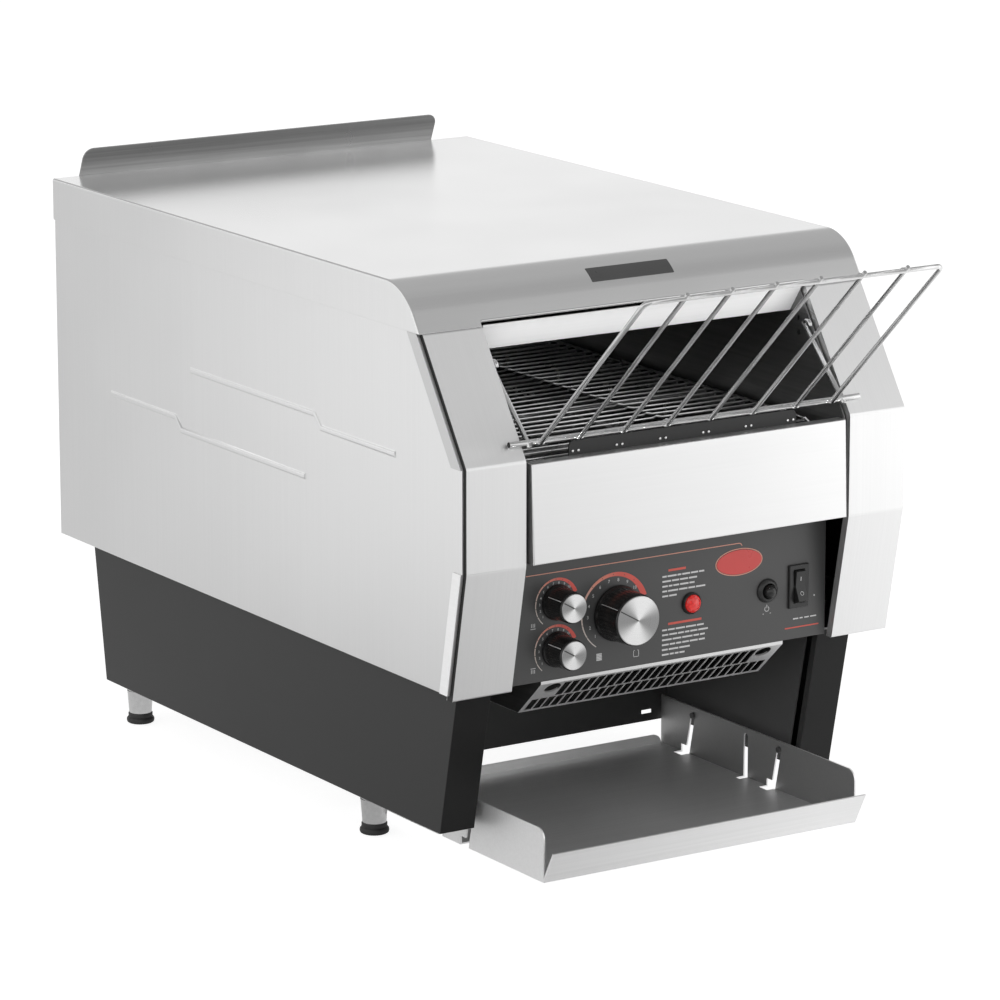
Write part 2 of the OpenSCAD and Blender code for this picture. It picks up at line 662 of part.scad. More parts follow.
// A point on the belt's loop, s millimetres from the front end of its upper run
function belt_point(s) = let (turn = PI * turn_r)
    s < belt_run ? [front_axle_y + s, belt_axle_z + turn_r]
    : s < belt_run + turn ? let (a = 90 - (s - belt_run) / turn * 180)
        [drive_axle_y + turn_r * cos(a), belt_axle_z + turn_r * sin(a)]
    : s < 2 * belt_run + turn ? [drive_axle_y - (s - belt_run - turn), belt_axle_z - turn_r]
    : let (a = -90 - (s - 2 * belt_run - turn) / turn * 180)
        [front_axle_y + turn_r * cos(a), belt_axle_z + turn_r * sin(a)];
function band_x(i) = (belt_half - 6) * (2 * i / (bands_n - 1) - 1);
module conveyor_belt() seated() color("#9a9a9c") {
    for (i = [0:wires_n - 1]) let (p = belt_point((i + 0.5) * belt_loop_len / wires_n))
        rod_x(-belt_half, belt_half, p[0], p[1], wire_d / 2, $fn = 16);
    for (i = [0:bands_n - 1]) along_x(band_x(i) - band_w / 2, band_x(i) + band_w / 2) difference() {
        polygon(loop_line([front_axle_y, belt_axle_z], band_r, [drive_axle_y, belt_axle_z], band_r));
        polygon(loop_line([front_axle_y, belt_axle_z], band_r - band_t, [drive_axle_y, belt_axle_z], band_r - band_t));
    }
}

rail_top = belt_axle_z + band_r - band_t - seat;
rail_h = 8;
tie_r = 5;
module belt_rails() seated() color("gray") {
    for (i = [0, 2, 4]) slab(band_x(i) - 2, band_x(i) + 2, front_axle_y + turn_r + 10, drive_axle_y - turn_r - 10,
        rail_top - rail_h, rail_top);
    for (k = [0.5, heaters_n - 1.5]) rod_x(-plate_x, plate_x, heater_y0 + k * heater_step, rail_top - rail_h, tie_r);
}

// ---- drive ----
module gear_motor() seated() color("#55585c") {
    gx0 = bracket_x + bracket_t;
    slab(gx0, gx0 + gearbox_t, motor_y - gearbox_half, motor_y + gearbox_half, motor_z - gearbox_half, motor_z + gearbox_half);
    rod_y(motor_y - gearbox_half - motor_len, motor_y - gearbox_half, side_x - skin - 2 - motor_d / 2, motor_z, motor_d / 2);
}
module motor_bracket() seated() color("silver") difference() {
    b = gearbox_half;
    union() {
        slab(bracket_x, bracket_x + bracket_t, motor_y - b, motor_y + b, motor_z - b, motor_z + b);
        slab(plate_out, bracket_x + bracket_t, motor_y - b, motor_y - b / 3, motor_z + b - bracket_t, motor_z + b);
        slab(plate_out, bracket_x + bracket_t, motor_y - b, motor_y + b, motor_z - b, motor_z - b + bracket_t);
    }
    rod_x(bracket_x - cut, bracket_x + bracket_t + cut, motor_y, motor_z, motor_shaft_r + 2);
}
module motor_sprocket() seated() color("gray") {
    translate([0, motor_y, motor_z]) along_x(chain_x, chain_x + chain_w) toothed(chain_r_small - 3, chain_r_small, 12, motor_shaft_r);
    rod_x(chain_x - 1, bracket_x + bracket_t, motor_y, motor_z, motor_shaft_r);
}
module chain_sprocket() seated() color("gray") {
    translate([0, drive_axle_y, belt_axle_z]) along_x(chain_x, chain_x + chain_w)
        toothed(chain_r_big - 3, chain_r_big, 24, shaft_r);
    difference() {
        rod_x(chain_x - 5, chain_x, drive_axle_y, belt_axle_z, shaft_r + 4);
        rod_x(chain_x - 6, chain_x + cut, drive_axle_y, belt_axle_z, shaft_r);
    }
}
module drive_chain() seated() color("#6a6a6c") along_x(chain_x, chain_x + chain_w) difference() {
    polygon(loop_line([motor_y, motor_z], chain_r_small + seat + 3, [drive_axle_y, belt_axle_z], chain_r_big + seat + 3));
    polygon(loop_line([motor_y, motor_z], chain_r_small + seat, [drive_axle_y, belt_axle_z], chain_r_big + seat));
}

fan_y = rear_in - fan_t;
module fan_frame() seated() color("#222224") {
    difference() {
        slab(fan_x - fan_side / 2, fan_x + fan_side / 2, fan_y, rear_in, fan_z - fan_side / 2, fan_z + fan_side / 2);
        rod_y(fan_y - cut, rear_in + cut, fan_x, fan_z, fan_d / 2 + 1.5);
    }
    for (a = [0, 90]) translate([fan_x, 0, fan_z]) rotate([0, a, 0])
        slab(-fan_d / 2 - 2, fan_d / 2 + 2, fan_y, fan_y + 3, -2.5, 2.5);
    rod_y(fan_y, fan_y + 3, fan_x, fan_z, 15);
}
module fan_rotor() seated() color("#303034") {
    rod_y(fan_y + 3 + seat, rear_in - 3, fan_x, fan_z, 14);
    for (i = [0:6]) translate([fan_x, fan_y + 14, fan_z]) rotate([0, i * 360 / 7, 0]) rotate([32, 0, 0])
        slab(12, fan_d / 2 - 1, -0.8, 0.8, -9, 9);
}

// ---- loading rack ----
function wire_x(i) = rack_half * (2 * (i + 1) / (inner_n + 1) - 1) * 1.036;
module rack_plane() translate([0, bar_y, bar_z]) rotate([180 - rack_rise, 0, 0]) translate([0, 0, wire_set]) children();
corner_r = 5;
hook_bend = 3.2;
module loading_rack() seated() color("silver") {
    rod_x(-bar_half, bar_half, bar_y, bar_z, bar_d / 2);
    rack_plane() {
        rod_x(-rack_half + corner_r, rack_half - corner_r, rack_len, 0, frame_wire / 2);
        for (s = [-1, 1]) {
            translate([s * rack_half, 0, 0]) rotate([-90, 0, 0]) cylinder(h = rack_len - corner_r, r = frame_wire / 2);
            translate([s * (rack_half - corner_r), rack_len - corner_r, 0]) rotate([0, 0, s > 0 ? 0 : 90])
                rotate_extrude(angle = 90) translate([corner_r, 0]) circle(frame_wire / 2);
        }
        for (i = [0:inner_n - 1]) translate([wire_x(i), 0, 0]) rotate([-90, 0, 0])
            cylinder(h = rack_len + wire_tip, r = inner_wire / 2);
    }
    arm = [hook_y - bar_y, hook_z - bar_z];
    pair() {
        translate([arm_x, bar_y, bar_z]) rotate([atan2(arm[1], arm[0]) - 90, 0, 0]) translate([0, 0, -4])
            cylinder(h = norm(arm) + frame_wire / 2 + 4, r = frame_wire / 2);
        translate([arm_x, hook_y - hook_bend, hook_z]) rotate([90, 0, 90])
            rotate_extrude(angle = 180) translate([hook_bend, 0]) circle(frame_wire / 2 - 0.15);
        rod_x(arm_x - 0.6, plate_out + 3, hook_y, hook_z, frame_wire / 2 - 0.05);
    }
}

// ---- controls ----
module control_panel() seated() color("#3f4043") difference() {
    slab(-plate_x - 1, plate_x + 1, control_back, control_rear, control_z, control_top);
    for (z = [upper_knob_z, lower_knob_z]) rod_y(control_back - cut, control_rear + cut, -small_knob_x, z, neck_r);
    rod_y(control_back - cut, control_rear + cut, -large_knob_x, large_knob_z, neck_r);
    rod_y(control_back - cut, control_rear + cut, lamp_x, row_z, lamp_r - 2);
    rod_y(control_back - cut, control_rear + cut, button_x, row_z, button_r + 1.4);
    slab(switch_x - switch_w / 2 + 1.5, switch_x + switch_w / 2 - 1.5, control_back - cut, control_rear + cut,
        row_z - switch_h / 2 + 1.5, row_z + switch_h / 2 - 1.5);
}

module control_box() seated() color("silver") {
    slab(-plate_x, plate_x, control_rear, box_rear, control_top - skin, control_top);
    slab(-plate_x, plate_x, box_rear - skin, box_rear, side_z - skin, control_top);
    slab(grille_left, grille_right, box_rear - skin, box_rear, grille_floor, side_z);
    slab(-plate_x, grille_left, control_rear, box_rear, side_z - skin, side_z);
    slab(grille_right, plate_x, control_rear, box_rear, side_z - skin, side_z);
}

module regulator(x, z, r, depth) difference() {
    union() {
        rod_y(control_rear, control_rear + depth, x, z, r);
        rod_y(control_back - 4, control_rear + cut, x, z, neck_r);
    }
    rod_y(control_back - 5, control_rear + 8, x, z, stem_r + running);
}
module regulators() seated() color("#77787a") {
    regulator(-small_knob_x, upper_knob_z, regulator_r, regulator_len);
    regulator(-small_knob_x, lower_knob_z, regulator_r, regulator_len);
    regulator(-large_knob_x, large_knob_z, main_regulator_r, main_regulator_len);
}

knob_gap = 0.6;
// A knob of black plastic with a round recess over the neck, and its stem
module knob(x, z, r, h) translate([x, control_back, z]) rotate([90, 0, 0]) {
    difference() {
        union() {
            translate([0, 0, knob_gap]) cylinder(h = 3, r1 = r + 1.6, r2 = r + 0.8);
            translate([0, 0, knob_gap + 3]) cylinder(h = h - knob_gap - 4, r1 = r + 0.2, r2 = r - 0.6);
            for (a = [0:18:342]) rotate([0, 0, a]) translate([r - 0.2, 0, knob_gap + 3]) cylinder(h = h - knob_gap - 6, r = 0.8, $fn = 16);
        }
        translate([0, 0, -cut]) cylinder(h = cut + 4 + knob_gap, r = neck_r + seat);
    }
    translate([0, 0, -control_grip]) cylinder(h = control_grip + 8, r = stem_r);
}
control_grip = 8;
module knob_face(x, z, r, h) translate([x, control_back, z]) rotate([90, 0, 0]) difference() {
    translate([0, 0, h - 1]) cylinder(h = 1, r = r - 0.9);
    rotate([0, 0, 150]) translate([0, -0.4, h - 0.4]) cube([r, 0.8, cut]);
}
module knob_upper() seated() color("#1c1c1e") knob(-small_knob_x, upper_knob_z, small_knob_r, small_knob_h);
module knob_lower() seated() color("#1c1c1e") knob(-small_knob_x, lower_knob_z, small_knob_r, small_knob_h);
module knob_main() seated() color("#1c1c1e") knob(-large_knob_x, large_knob_z, large_knob_r, large_knob_h);
module knob_upper_face() seated() color("silver") knob_face(-small_knob_x, upper_knob_z, small_knob_r, small_knob_h);
module knob_lower_face() seated() color("silver") knob_face(-small_knob_x, lower_knob_z, small_knob_r, small_knob_h);
module knob_main_face() seated() color("silver") knob_face(-large_knob_x, large_knob_z, large_knob_r, large_knob_h);

module indicator_bezel() seated() color("#1c1c1e") translate([lamp_x, control_back, row_z]) rotate([90, 0, 0]) difference() {
    union() {
        cylinder(h = 2.5, r1 = lamp_r, r2 = lamp_r - 0.8);
        translate([0, 0, -14]) cylinder(h = 15, r = lamp_r - 2);
    }
    translate([0, 0, -12]) cylinder(h = 20, r = lamp_r - 3);
    translate([0, 0, 1]) cylinder(h = 5, r = lamp_r - 1.4);
}
module indicator_lens() seated() color("red") translate([lamp_x, control_back, row_z]) rotate([90, 0, 0]) {
    translate([0, 0, -8]) cylinder(h = 9.5, r = lamp_r - 3);
    translate([0, 0, 1]) cylinder(h = 2, r = lamp_r - 1.4);
    translate([0, 0, 3]) cylinder(h = 1.6, r1 = lamp_r - 1.4, r2 = lamp_r - 3.6);
}

module button_bezel() seated() color("#1c1c1e") translate([button_x, control_back, row_z]) rotate([90, 0, 0]) difference() {
    union() {
        cylinder(h = 3, r1 = button_r + 3.9, r2 = button_r + 2.4);
        translate([0, 0, -16]) cylinder(h = 17, r = button_r + 1.4);
    }
    translate([0, 0, -12]) cylinder(h = 20, r = button_r + seat);
}
module push_button() seated() color("#262628") translate([button_x, control_back, row_z]) rotate([90, 0, 0]) {
    translate([0, 0, button_travel - 11]) cylinder(h = button_out - button_travel + 10, r = button_r);
    translate([0, 0, button_out - 1]) cylinder(h = 1, r1 = button_r, r2 = button_r - 1);
}

module switch_bezel() seated() color("#1c1c1e") difference() {
    union() {
        slab(switch_x - switch_w / 2, switch_x + switch_w / 2, control_back - 2.2, control_back,
            row_z - switch_h / 2, row_z + switch_h / 2);
        slab(switch_x - switch_w / 2 + 1.5, switch_x + switch_w / 2 - 1.5, control_back - 1, control_rear + 16,
            row_z - switch_h / 2 + 1.5, row_z + switch_h / 2 - 1.5);
    }
    slab(switch_x - rocker_w / 2 - seat, switch_x + rocker_w / 2 + seat, control_back - 3, control_rear + 12,
        row_z - rocker_r - seat, row_z + rocker_r + seat);
}
// Two flat faces meet at a shallow angle; the ends are round about the pivot
module rocker_switch() seated() color("#1a1a1c") translate([0, rocker_y, row_z]) rotate([-rocker_tilt, 0, 0]) {
    intersection() {
        along_x(switch_x - rocker_w / 2, switch_x + rocker_w / 2) polygon([[-rocker_depth, -rocker_r], [-2.5, 0],
            [-rocker_depth, rocker_r], [6, rocker_r], [9, 0], [6, -rocker_r]]);
        rod_x(switch_x - rocker_w / 2, switch_x + rocker_w / 2, 0, 0, rocker_r);
    }
    rod_x(switch_x - rocker_w / 2 - seat, switch_x + rocker_w / 2 + seat, 0, 0, 1.5);
}

// ---- grille box ----
grille_run = grille_drop;
grille_hem = 2.4;
grille_edge = 2.5;
grille_fall = grille_drop - grille_hem;
// Depths of the two rows of slots below the hem's top edge
grille_rows = [[3.7, 15.7], [16.9, 26.6]] * grille_drop / 28.6;
slot_pitch = (grille_right - grille_left - 2 * grille_edge) / grille_slots;
grille_hole_r = 6.2;
grille_hole_in = 13;
grille_hole_down = 7.4;
module grille_box() seated() color("#6b6c6e") difference() {
    union() {
        along_x(grille_left, grille_right) polygon([[control_back, control_z], [control_back, control_z - grille_hem],
            [control_back + grille_run, grille_floor], [box_rear - skin, grille_floor], [box_rear - skin, grille_floor + skin],
            [control_back + grille_run + skin / 2, grille_floor + skin], [control_back + skin, control_z - grille_hem + skin / 2],
            [control_back + skin, control_z]]);
        for (x = [grille_left, grille_right - skin]) along_x(x, x + skin) polygon([[control_back, control_z],
            [control_back, control_z - grille_hem], [control_back + grille_run, grille_floor], [box_rear - skin, grille_floor],
            [box_rear - skin, side_z - skin], [control_rear, side_z - skin], [control_rear, control_z]]);
    }
    for (i = [0:grille_slots - 1]) grille_cut(grille_left + grille_edge + (i + 0.5) * slot_pitch, grille_rows[1]);
    for (i = [0:grille_slots - 6]) grille_cut(grille_left + grille_edge + (i + 3) * slot_pitch, grille_rows[0]);
    for (x = [grille_left + grille_hole_in, grille_right - grille_hole_in]) grille_hole(x);
}
function grille_y(down) = control_back + (down - grille_hem) * grille_run / grille_fall;
module grille_cut(x, row) {
    w = slot_pitch * 0.8;
    slab(x - w / 2, x + w / 2, grille_y(row[0]) - 1, grille_y(row[1]) + 3, control_z - row[1], control_z - row[0]);
}
module grille_hole(x) translate([x, grille_y(grille_hole_down), control_z - grille_hole_down])
    rotate([atan2(grille_fall, -grille_run), 0, 0]) translate([0, 0, -3]) cylinder(h = 6, r = grille_hole_r);

// ---- base ----
base_line = [[base_front - front_lean, base_top], [base_front, base_z]];
base_back = [[base_rear_y + rear_lean, base_top], [base_rear_y, base_z]];
module base_side(side) sided(side) {
    along_x(base_x - skin, base_x) polygon([base_line[0], base_line[1], base_back[1], base_back[0]]);
    along_x(liner_x, base_x) level_sheet(base_line, skin);
    along_x(liner_x, liner_x + skin) level_sheet(base_line, 6);
    along_x(liner_x, base_x) polygon([base_back[0], base_back[1], base_back[1] - [skin, 0], base_back[0] - [skin, 0]]);
    slab(liner_x, base_x, base_front, base_rear_y, base_z, base_z + skin);
}
module base_side_left() seated() color("#38393b") base_side(-1);
module base_side_right() seated() color("#38393b") base_side(1);

module base_liners() seated() color("#3a3b3d") pair() {
    along_x(liner_x, liner_x + skin) polygon([base_line[0] + [liner_set, 0],
        [base_front + liner_set, base_z + skin], [cross_y + skin, base_z + skin], [cross_y + skin, base_top]]);
    for (y = [slot_front_y, slot_rear_y]) rod_x(tray_x - tray_t - 1.5, liner_x + skin / 2, y, slot_top, pin_r);
}

module base_cross_panel() seated() color("#2c2c2e") difference() {
    slab(-liner_x, liner_x, cross_y, cross_y + skin, base_z - 1.5, base_z - 1.5 + cross_h);
    slab(liner_x - 23, liner_x - 14, cross_y - cut, cross_y + skin + cut, base_z + 4.2, base_z + 7.2);
}

module base_rear_panel() seated() color("#38393b") along_x(-liner_x, liner_x)
    polygon([base_back[0], base_back[1], base_back[1] - [skin, 0], base_back[0] - [skin, 0]]);

// ---- tray ----
module tray_slot(y, run, mouth) {
    drop = slot_top - tray_z;
    reach = norm([run, drop]) + slot_w;
    foot = y + run - slot_w / 2;
    along_x(tray_x - tray_t - cut, tray_x + cut) {
        translate([y, slot_top]) rotate(atan2(run, drop))
            polygon(concat(arc([0, 0], slot_w / 2, 0, 180, 12), [[-slot_w / 2, -reach], [slot_w / 2, -reach]]));
        translate([foot, tray_z - cut]) square([slot_w + mouth, mouth_h + cut]);
    }
    slab(tray_x - tray_t - notch_in, tray_x + cut, foot, foot + slot_w + mouth, tray_z - cut, tray_z + tray_t + cut);
}
module collector_tray() seated() color("silver") {
    wall_top = tray_z + tray_wall;
    nose = 8;
    difference() {
        union() {
            slab(-tray_x, tray_x, -tray_front, tray_back, tray_z, tray_z + tray_t);
            pair() along_x(tray_x - tray_t, tray_x) {
                translate([-tray_front, tray_z]) square([tray_front + tray_back, tray_wall - nose]);
                translate([nose - tray_front, tray_z]) square([tray_front + tray_back - nose, tray_wall]);
                translate([nose - tray_front, wall_top - nose]) circle(nose);
            }
            along_x(-tray_x, tray_x) polygon([[-tray_front, tray_z], [-tray_front - flare_out, tray_z + flare_h],
                [-tray_front - flare_out + tray_t, tray_z + flare_h + 0.4], [-tray_front + tray_t, tray_z + tray_t]]);
            along_y(tray_back - tray_t, tray_back) rounded_top(tray_x - 2, tray_z, tray_z + tray_lip, tray_lip - tray_t);
        }
        pair() {
            tray_slot(slot_rear_y, slot_run, mouth_w);
            tray_slot(slot_mid_y, 0, 0);
            tray_slot(slot_front_y, slot_run, mouth_w);
        }
    }
}

// ---- feet ----
module at_feet() pair() for (y = [foot_front_y, foot_rear_y]) translate([foot_x, y, 0]) children();
module feet() seated() color("silver") at_feet() translate([0, 0, pad_h])
    cylinder(h = base_z - pad_h, r1 = foot_d / 2 - 2, r2 = foot_d / 2);
module foot_pads() seated() color("#2a2a2a") at_feet() cylinder(h = pad_h, r1 = foot_d / 2 - 0.8, r2 = foot_d / 2);

// ---- services ----
inlet_x = 62.8 - side_x;
inlet_z = 172;
inlet_w = 32;
inlet_h = 26;
module power_inlet() seated() color("#1c1c1e") difference() {
    union() {
        slab(inlet_x - inlet_w / 2 - 4, inlet_x + inlet_w / 2 + 4, rear_y, rear_y + 1, inlet_z - inlet_h / 2 - 4, inlet_z + inlet_h / 2 + 4);
        slab(inlet_x - inlet_w / 2, inlet_x + inlet_w / 2, rear_in - 22, rear_y + 0.5, inlet_z - inlet_h / 2, inlet_z + inlet_h / 2);
    }
    slab(inlet_x - inlet_w / 2 + 2, inlet_x + inlet_w / 2 - 2, rear_in - 18, rear_y + 3, inlet_z - inlet_h / 2 + 2, inlet_z + inlet_h / 2 - 2);
}

module screws() seated() color("lightgray") {
    for (s = [-1, 1], z = [side_z + 14, (side_z + body_h) / 2, body_h - 14])
        rod_y(rear_y, rear_y + 1.2, s * (side_x - 12), z, 3.2);
    for (x = [-60, 0, 60]) rod_y(rear_y, rear_y + 1.2, x, side_z + 14, 3.2);
}

top_cover();
rear_deflector();
side_panel_left();
side_panel_right();
corner_trim_left();
corner_trim_right();
opening_strip();
front_panel();
guard_strip();
inner_plate_left();
inner_plate_right();
chassis_pan();
rear_panel();
rear_guide();
discharge_chute();
tunnel_roof();
upper_heaters();
lower_heaters();
heater_bushes();
front_shaft();
drive_shaft();
front_sprockets();
drive_sprockets();
shaft_bearings();
conveyor_belt();
belt_rails();
gear_motor();
motor_bracket();
motor_sprocket();
chain_sprocket();
drive_chain();
fan_frame();
fan_rotor();
loading_rack();
control_panel();
control_box();
regulators();
knob_upper();
knob_upper_face();
knob_lower();
knob_lower_face();
knob_main();
knob_main_face();
indicator_bezel();
indicator_lens();
button_bezel();
push_button();
switch_bezel();
rocker_switch();
grille_box();
base_side_left();
base_side_right();
base_liners();
base_cross_panel();
base_rear_panel();
collector_tray();
feet();
foot_pads();
power_inlet();
screws();
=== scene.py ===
import json
import math
import random

import bmesh
import bpy
from mathutils import Matrix, Vector

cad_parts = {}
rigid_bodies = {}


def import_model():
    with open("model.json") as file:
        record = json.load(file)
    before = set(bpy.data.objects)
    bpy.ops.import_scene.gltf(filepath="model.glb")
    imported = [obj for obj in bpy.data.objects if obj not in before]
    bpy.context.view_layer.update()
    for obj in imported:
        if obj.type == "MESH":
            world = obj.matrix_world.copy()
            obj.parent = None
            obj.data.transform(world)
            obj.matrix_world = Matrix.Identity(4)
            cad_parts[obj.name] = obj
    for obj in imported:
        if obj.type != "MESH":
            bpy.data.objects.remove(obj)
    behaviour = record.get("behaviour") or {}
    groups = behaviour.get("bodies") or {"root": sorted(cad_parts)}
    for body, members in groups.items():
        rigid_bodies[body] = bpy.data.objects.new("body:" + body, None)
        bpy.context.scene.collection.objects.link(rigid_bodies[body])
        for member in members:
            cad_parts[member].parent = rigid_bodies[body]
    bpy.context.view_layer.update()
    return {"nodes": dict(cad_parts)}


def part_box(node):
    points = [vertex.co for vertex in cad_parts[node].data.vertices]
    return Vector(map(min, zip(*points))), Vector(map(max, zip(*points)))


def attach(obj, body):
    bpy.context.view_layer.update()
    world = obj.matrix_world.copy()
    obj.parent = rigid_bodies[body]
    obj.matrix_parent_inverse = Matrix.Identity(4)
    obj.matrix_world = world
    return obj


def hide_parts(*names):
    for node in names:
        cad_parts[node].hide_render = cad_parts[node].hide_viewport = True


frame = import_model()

nodes = frame["nodes"]
mm = 0.001
mergeGap = 0.004 * mm  # corners of the CAD triangles that are one corner
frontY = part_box("corner_trim_left")[0].y  # front face of the corner trims
rng = random.Random(11)  # the same small scatter in every run


def at(x, y, z):  # millimetres from the middle, from the front face, from the counter
    return Vector((x * mm, frontY + y * mm, z * mm))


def only(*objs):
    if bpy.context.object and bpy.context.object.mode != "OBJECT":
        bpy.ops.object.mode_set(mode="OBJECT")
    bpy.ops.object.select_all(action="DESELECT")
    for obj in objs:
        obj.select_set(True)
    bpy.context.view_layer.objects.active = objs[0]


def editing(piece, mode="FACE"):
    only(piece)
    bpy.ops.object.mode_set(mode="EDIT")
    bpy.ops.mesh.select_mode(type=mode)
    bpy.ops.mesh.select_all(action="DESELECT")


def done():
    bpy.ops.object.mode_set(mode="OBJECT")


def pick(piece, kind, test):
    net = bmesh.from_edit_mesh(piece.data)
    net.normal_update()
    for item in {"VERT": net.verts, "EDGE": net.edges, "FACE": net.faces}[kind]:
        item.select_set(test(item))
    net.select_flush_mode()
    bmesh.update_edit_mesh(piece.data)


def settle(piece):  # place goes into the mesh, object to the origin
    only(piece)
    bpy.ops.object.transform_apply(location=True, rotation=True, scale=True)
    return piece


def stood(piece, place, facing="front"):  # what was drawn lying is turned and moved to its place
    piece.rotation_euler = ({"up": 0, "front": math.pi / 2, "rear": -math.pi / 2}[facing], 0, 0)
    piece.location = place
    return settle(piece)


def named(piece, name):
    piece.name = piece.data.name = name
    return piece


def applied(piece, kind, **values):
    only(piece)
    mod = piece.modifiers.new(kind.lower(), kind)
    for key, value in values.items():
        setattr(mod, key, value)
    bpy.ops.object.modifier_apply(modifier=mod.name)
    return piece


def copyNode(node, name, flat=0.4):  # a CAD node as a clean mesh; triangles flatter than this many degrees join
    only(nodes[node])
    bpy.ops.object.duplicate()
    piece = named(bpy.context.object, name)
    bpy.ops.object.parent_clear(type="CLEAR_KEEP_TRANSFORM")
    editing(piece)
    bpy.ops.mesh.select_all(action="SELECT")
    bpy.ops.mesh.remove_doubles(threshold=mergeGap)
    bpy.ops.mesh.dissolve_limited(angle_limit=math.radians(flat))
    done()
    return piece


def bevelWhere(piece, width, segments, test):
    editing(piece, "EDGE")
    pick(piece, "EDGE", test)
    bpy.ops.mesh.bevel(offset=width * mm, segments=segments, affect="EDGES", clamp_overlap=True)
    done()
    return piece


def faceAngle(edge):
    return edge.calc_face_angle(0.0) if len(edge.link_faces) == 2 else 0.0


def sharp(edge, least):
    return faceAngle(edge) > math.radians(least)


def outward(edge):  # True on an outside corner
    return len(edge.link_faces) == 2 and edge.is_convex


def middle(edge):
    return (edge.verts[0].co + edge.verts[1].co) / 2


def flow(edge):
    return (edge.verts[1].co - edge.verts[0].co).normalized()


flush, slack = 0.02, 0.05  # millimetres between points that count as level, strictly and loosely


def nearly(a, b, gap=slack):
    return abs(a - b) < gap * mm


def soften(piece, edge, test=lambda e: True):  # rounds the outside corners that the settings and the test pick
    angle, length = edge.get("angle", -1), edge.get("longerThan", -1) * mm
    bevelWhere(piece, edge["width"], edge["segments"],
               lambda e: outward(e) and sharp(e, angle) and e.calc_length() > length and test(e))


def smoothed(piece, angle=40, weighted=True):
    only(piece)
    bpy.ops.object.shade_smooth_by_angle(angle=math.radians(angle))
    if weighted:
        applied(piece, "WEIGHTED_NORMAL", mode="FACE_AREA", weight=100, keep_sharp=True)
    return piece


def softNode(node, name, edge, test=lambda e: True):  # a CAD node's copy with softened edges
    piece = copyNode(node, name)
    soften(piece, edge, test)
    return smoothed(piece)


def dress(piece, body, materials, replaced=(), pickMaterial=None):  # finishes, and what it rides on
    piece.data.materials.clear()
    for material in materials if isinstance(materials, (list, tuple)) else [materials]:
        piece.data.materials.append(material)
    for face in piece.data.polygons:
        face.material_index = pickMaterial(face) if pickMaterial else 0
    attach(piece, body)
    if replaced:
        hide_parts(*replaced)
    return piece


def joined(name, parts):
    only(*parts)
    if len(parts) > 1:
        bpy.ops.object.join()
    return named(bpy.context.object, name)


def copied(piece, move=(0, 0, 0), turn=None):  # a copy with its own mesh, moved and turned about the origin
    only(piece)
    bpy.ops.object.duplicate(linked=False)
    twin = bpy.context.object
    twin.matrix_world = Matrix.Translation(move) @ (turn or Matrix.Identity(4))
    return settle(twin)


def block(name, low, high, soft=0.0, segments=2):
    size = high - low
    bpy.ops.mesh.primitive_cube_add(size=1, location=(low + high) / 2, scale=size)
    piece = named(settle(bpy.context.object), name)
    if soft:
        bevelWhere(piece, soft, segments, lambda e: True)
    return piece


def turned(name, profile, place=(0, 0, 0), facing="front", sides=64):  # (radius, height) steps drawn up from a disc
    bpy.ops.mesh.primitive_circle_add(vertices=sides, radius=profile[0][0] * mm, fill_type="NGON",
                                      location=(0, 0, profile[0][1] * mm))
    piece = named(settle(bpy.context.object), name)
    editing(piece)
    bpy.ops.mesh.select_all(action="SELECT")
    for (r0, h0), (r1, h1) in zip(profile, profile[1:]):
        bpy.ops.mesh.extrude_region_move(TRANSFORM_OT_translate={"value": (0, 0, (h1 - h0) * mm)})
        bpy.ops.transform.resize(value=(r1 / r0, r1 / r0, 1), center_override=(0, 0, h1 * mm))
    bpy.ops.mesh.select_all(action="SELECT")
    bpy.ops.mesh.normals_make_consistent(inside=False)
    done()
    return stood(piece, place, facing)


def wirePath(name, points, radius, sides, closed=False):  # a round wire along straight runs
    bpy.ops.curve.primitive_nurbs_path_add(location=(0, 0, 0))
    piece = bpy.context.object
    piece.name = name
    shape = piece.data
    shape.splines.clear()
    spline = shape.splines.new("POLY")
    spline.points.add(len(points) - 1)
    for knot, point in zip(spline.points, points):
        knot.co = (*point, 1)
    spline.use_cyclic_u = closed
    shape.bevel_depth = radius * mm
    shape.bevel_resolution = max(0, sides // 2 - 2)
    shape.use_fill_caps = not closed
    only(piece)
    bpy.ops.object.convert(target="MESH")
    piece = bpy.context.object
    piece.data.name = name
    return piece


def newGroup(name, inputs, outputs):  # a shader node group with its own sockets
    group = bpy.data.node_groups.new(name, "ShaderNodeTree")
    for label, kind, value in inputs:
        group.interface.new_socket(name=label, in_out="INPUT", socket_type=kind).default_value = value
    for label, kind in outputs:
        group.interface.new_socket(name=label, in_out="OUTPUT", socket_type=kind)
    return group, group.nodes.new("NodeGroupInput"), group.nodes.new("NodeGroupOutput")


def wire(tree, source, target):
    tree.links.new(source, target)


def setInputs(node, values):
    for socket, value in values.items():
        node.inputs[socket].default_value = value
    return node


def added(tree, kind, values={}, **settings):  # a shader node with its settings and its sockets' values
    node = tree.nodes.new(kind)
    for key, value in settings.items():
        setattr(node, key, value)
    return setInputs(node, values)


def noiseNode(tree, vector, scale, detail, roughness):
    noise = added(tree, "ShaderNodeTexNoise", {"Scale": scale, "Detail": detail, "Roughness": roughness})
    wire(tree, vector, noise.inputs["Vector"])
    return noise


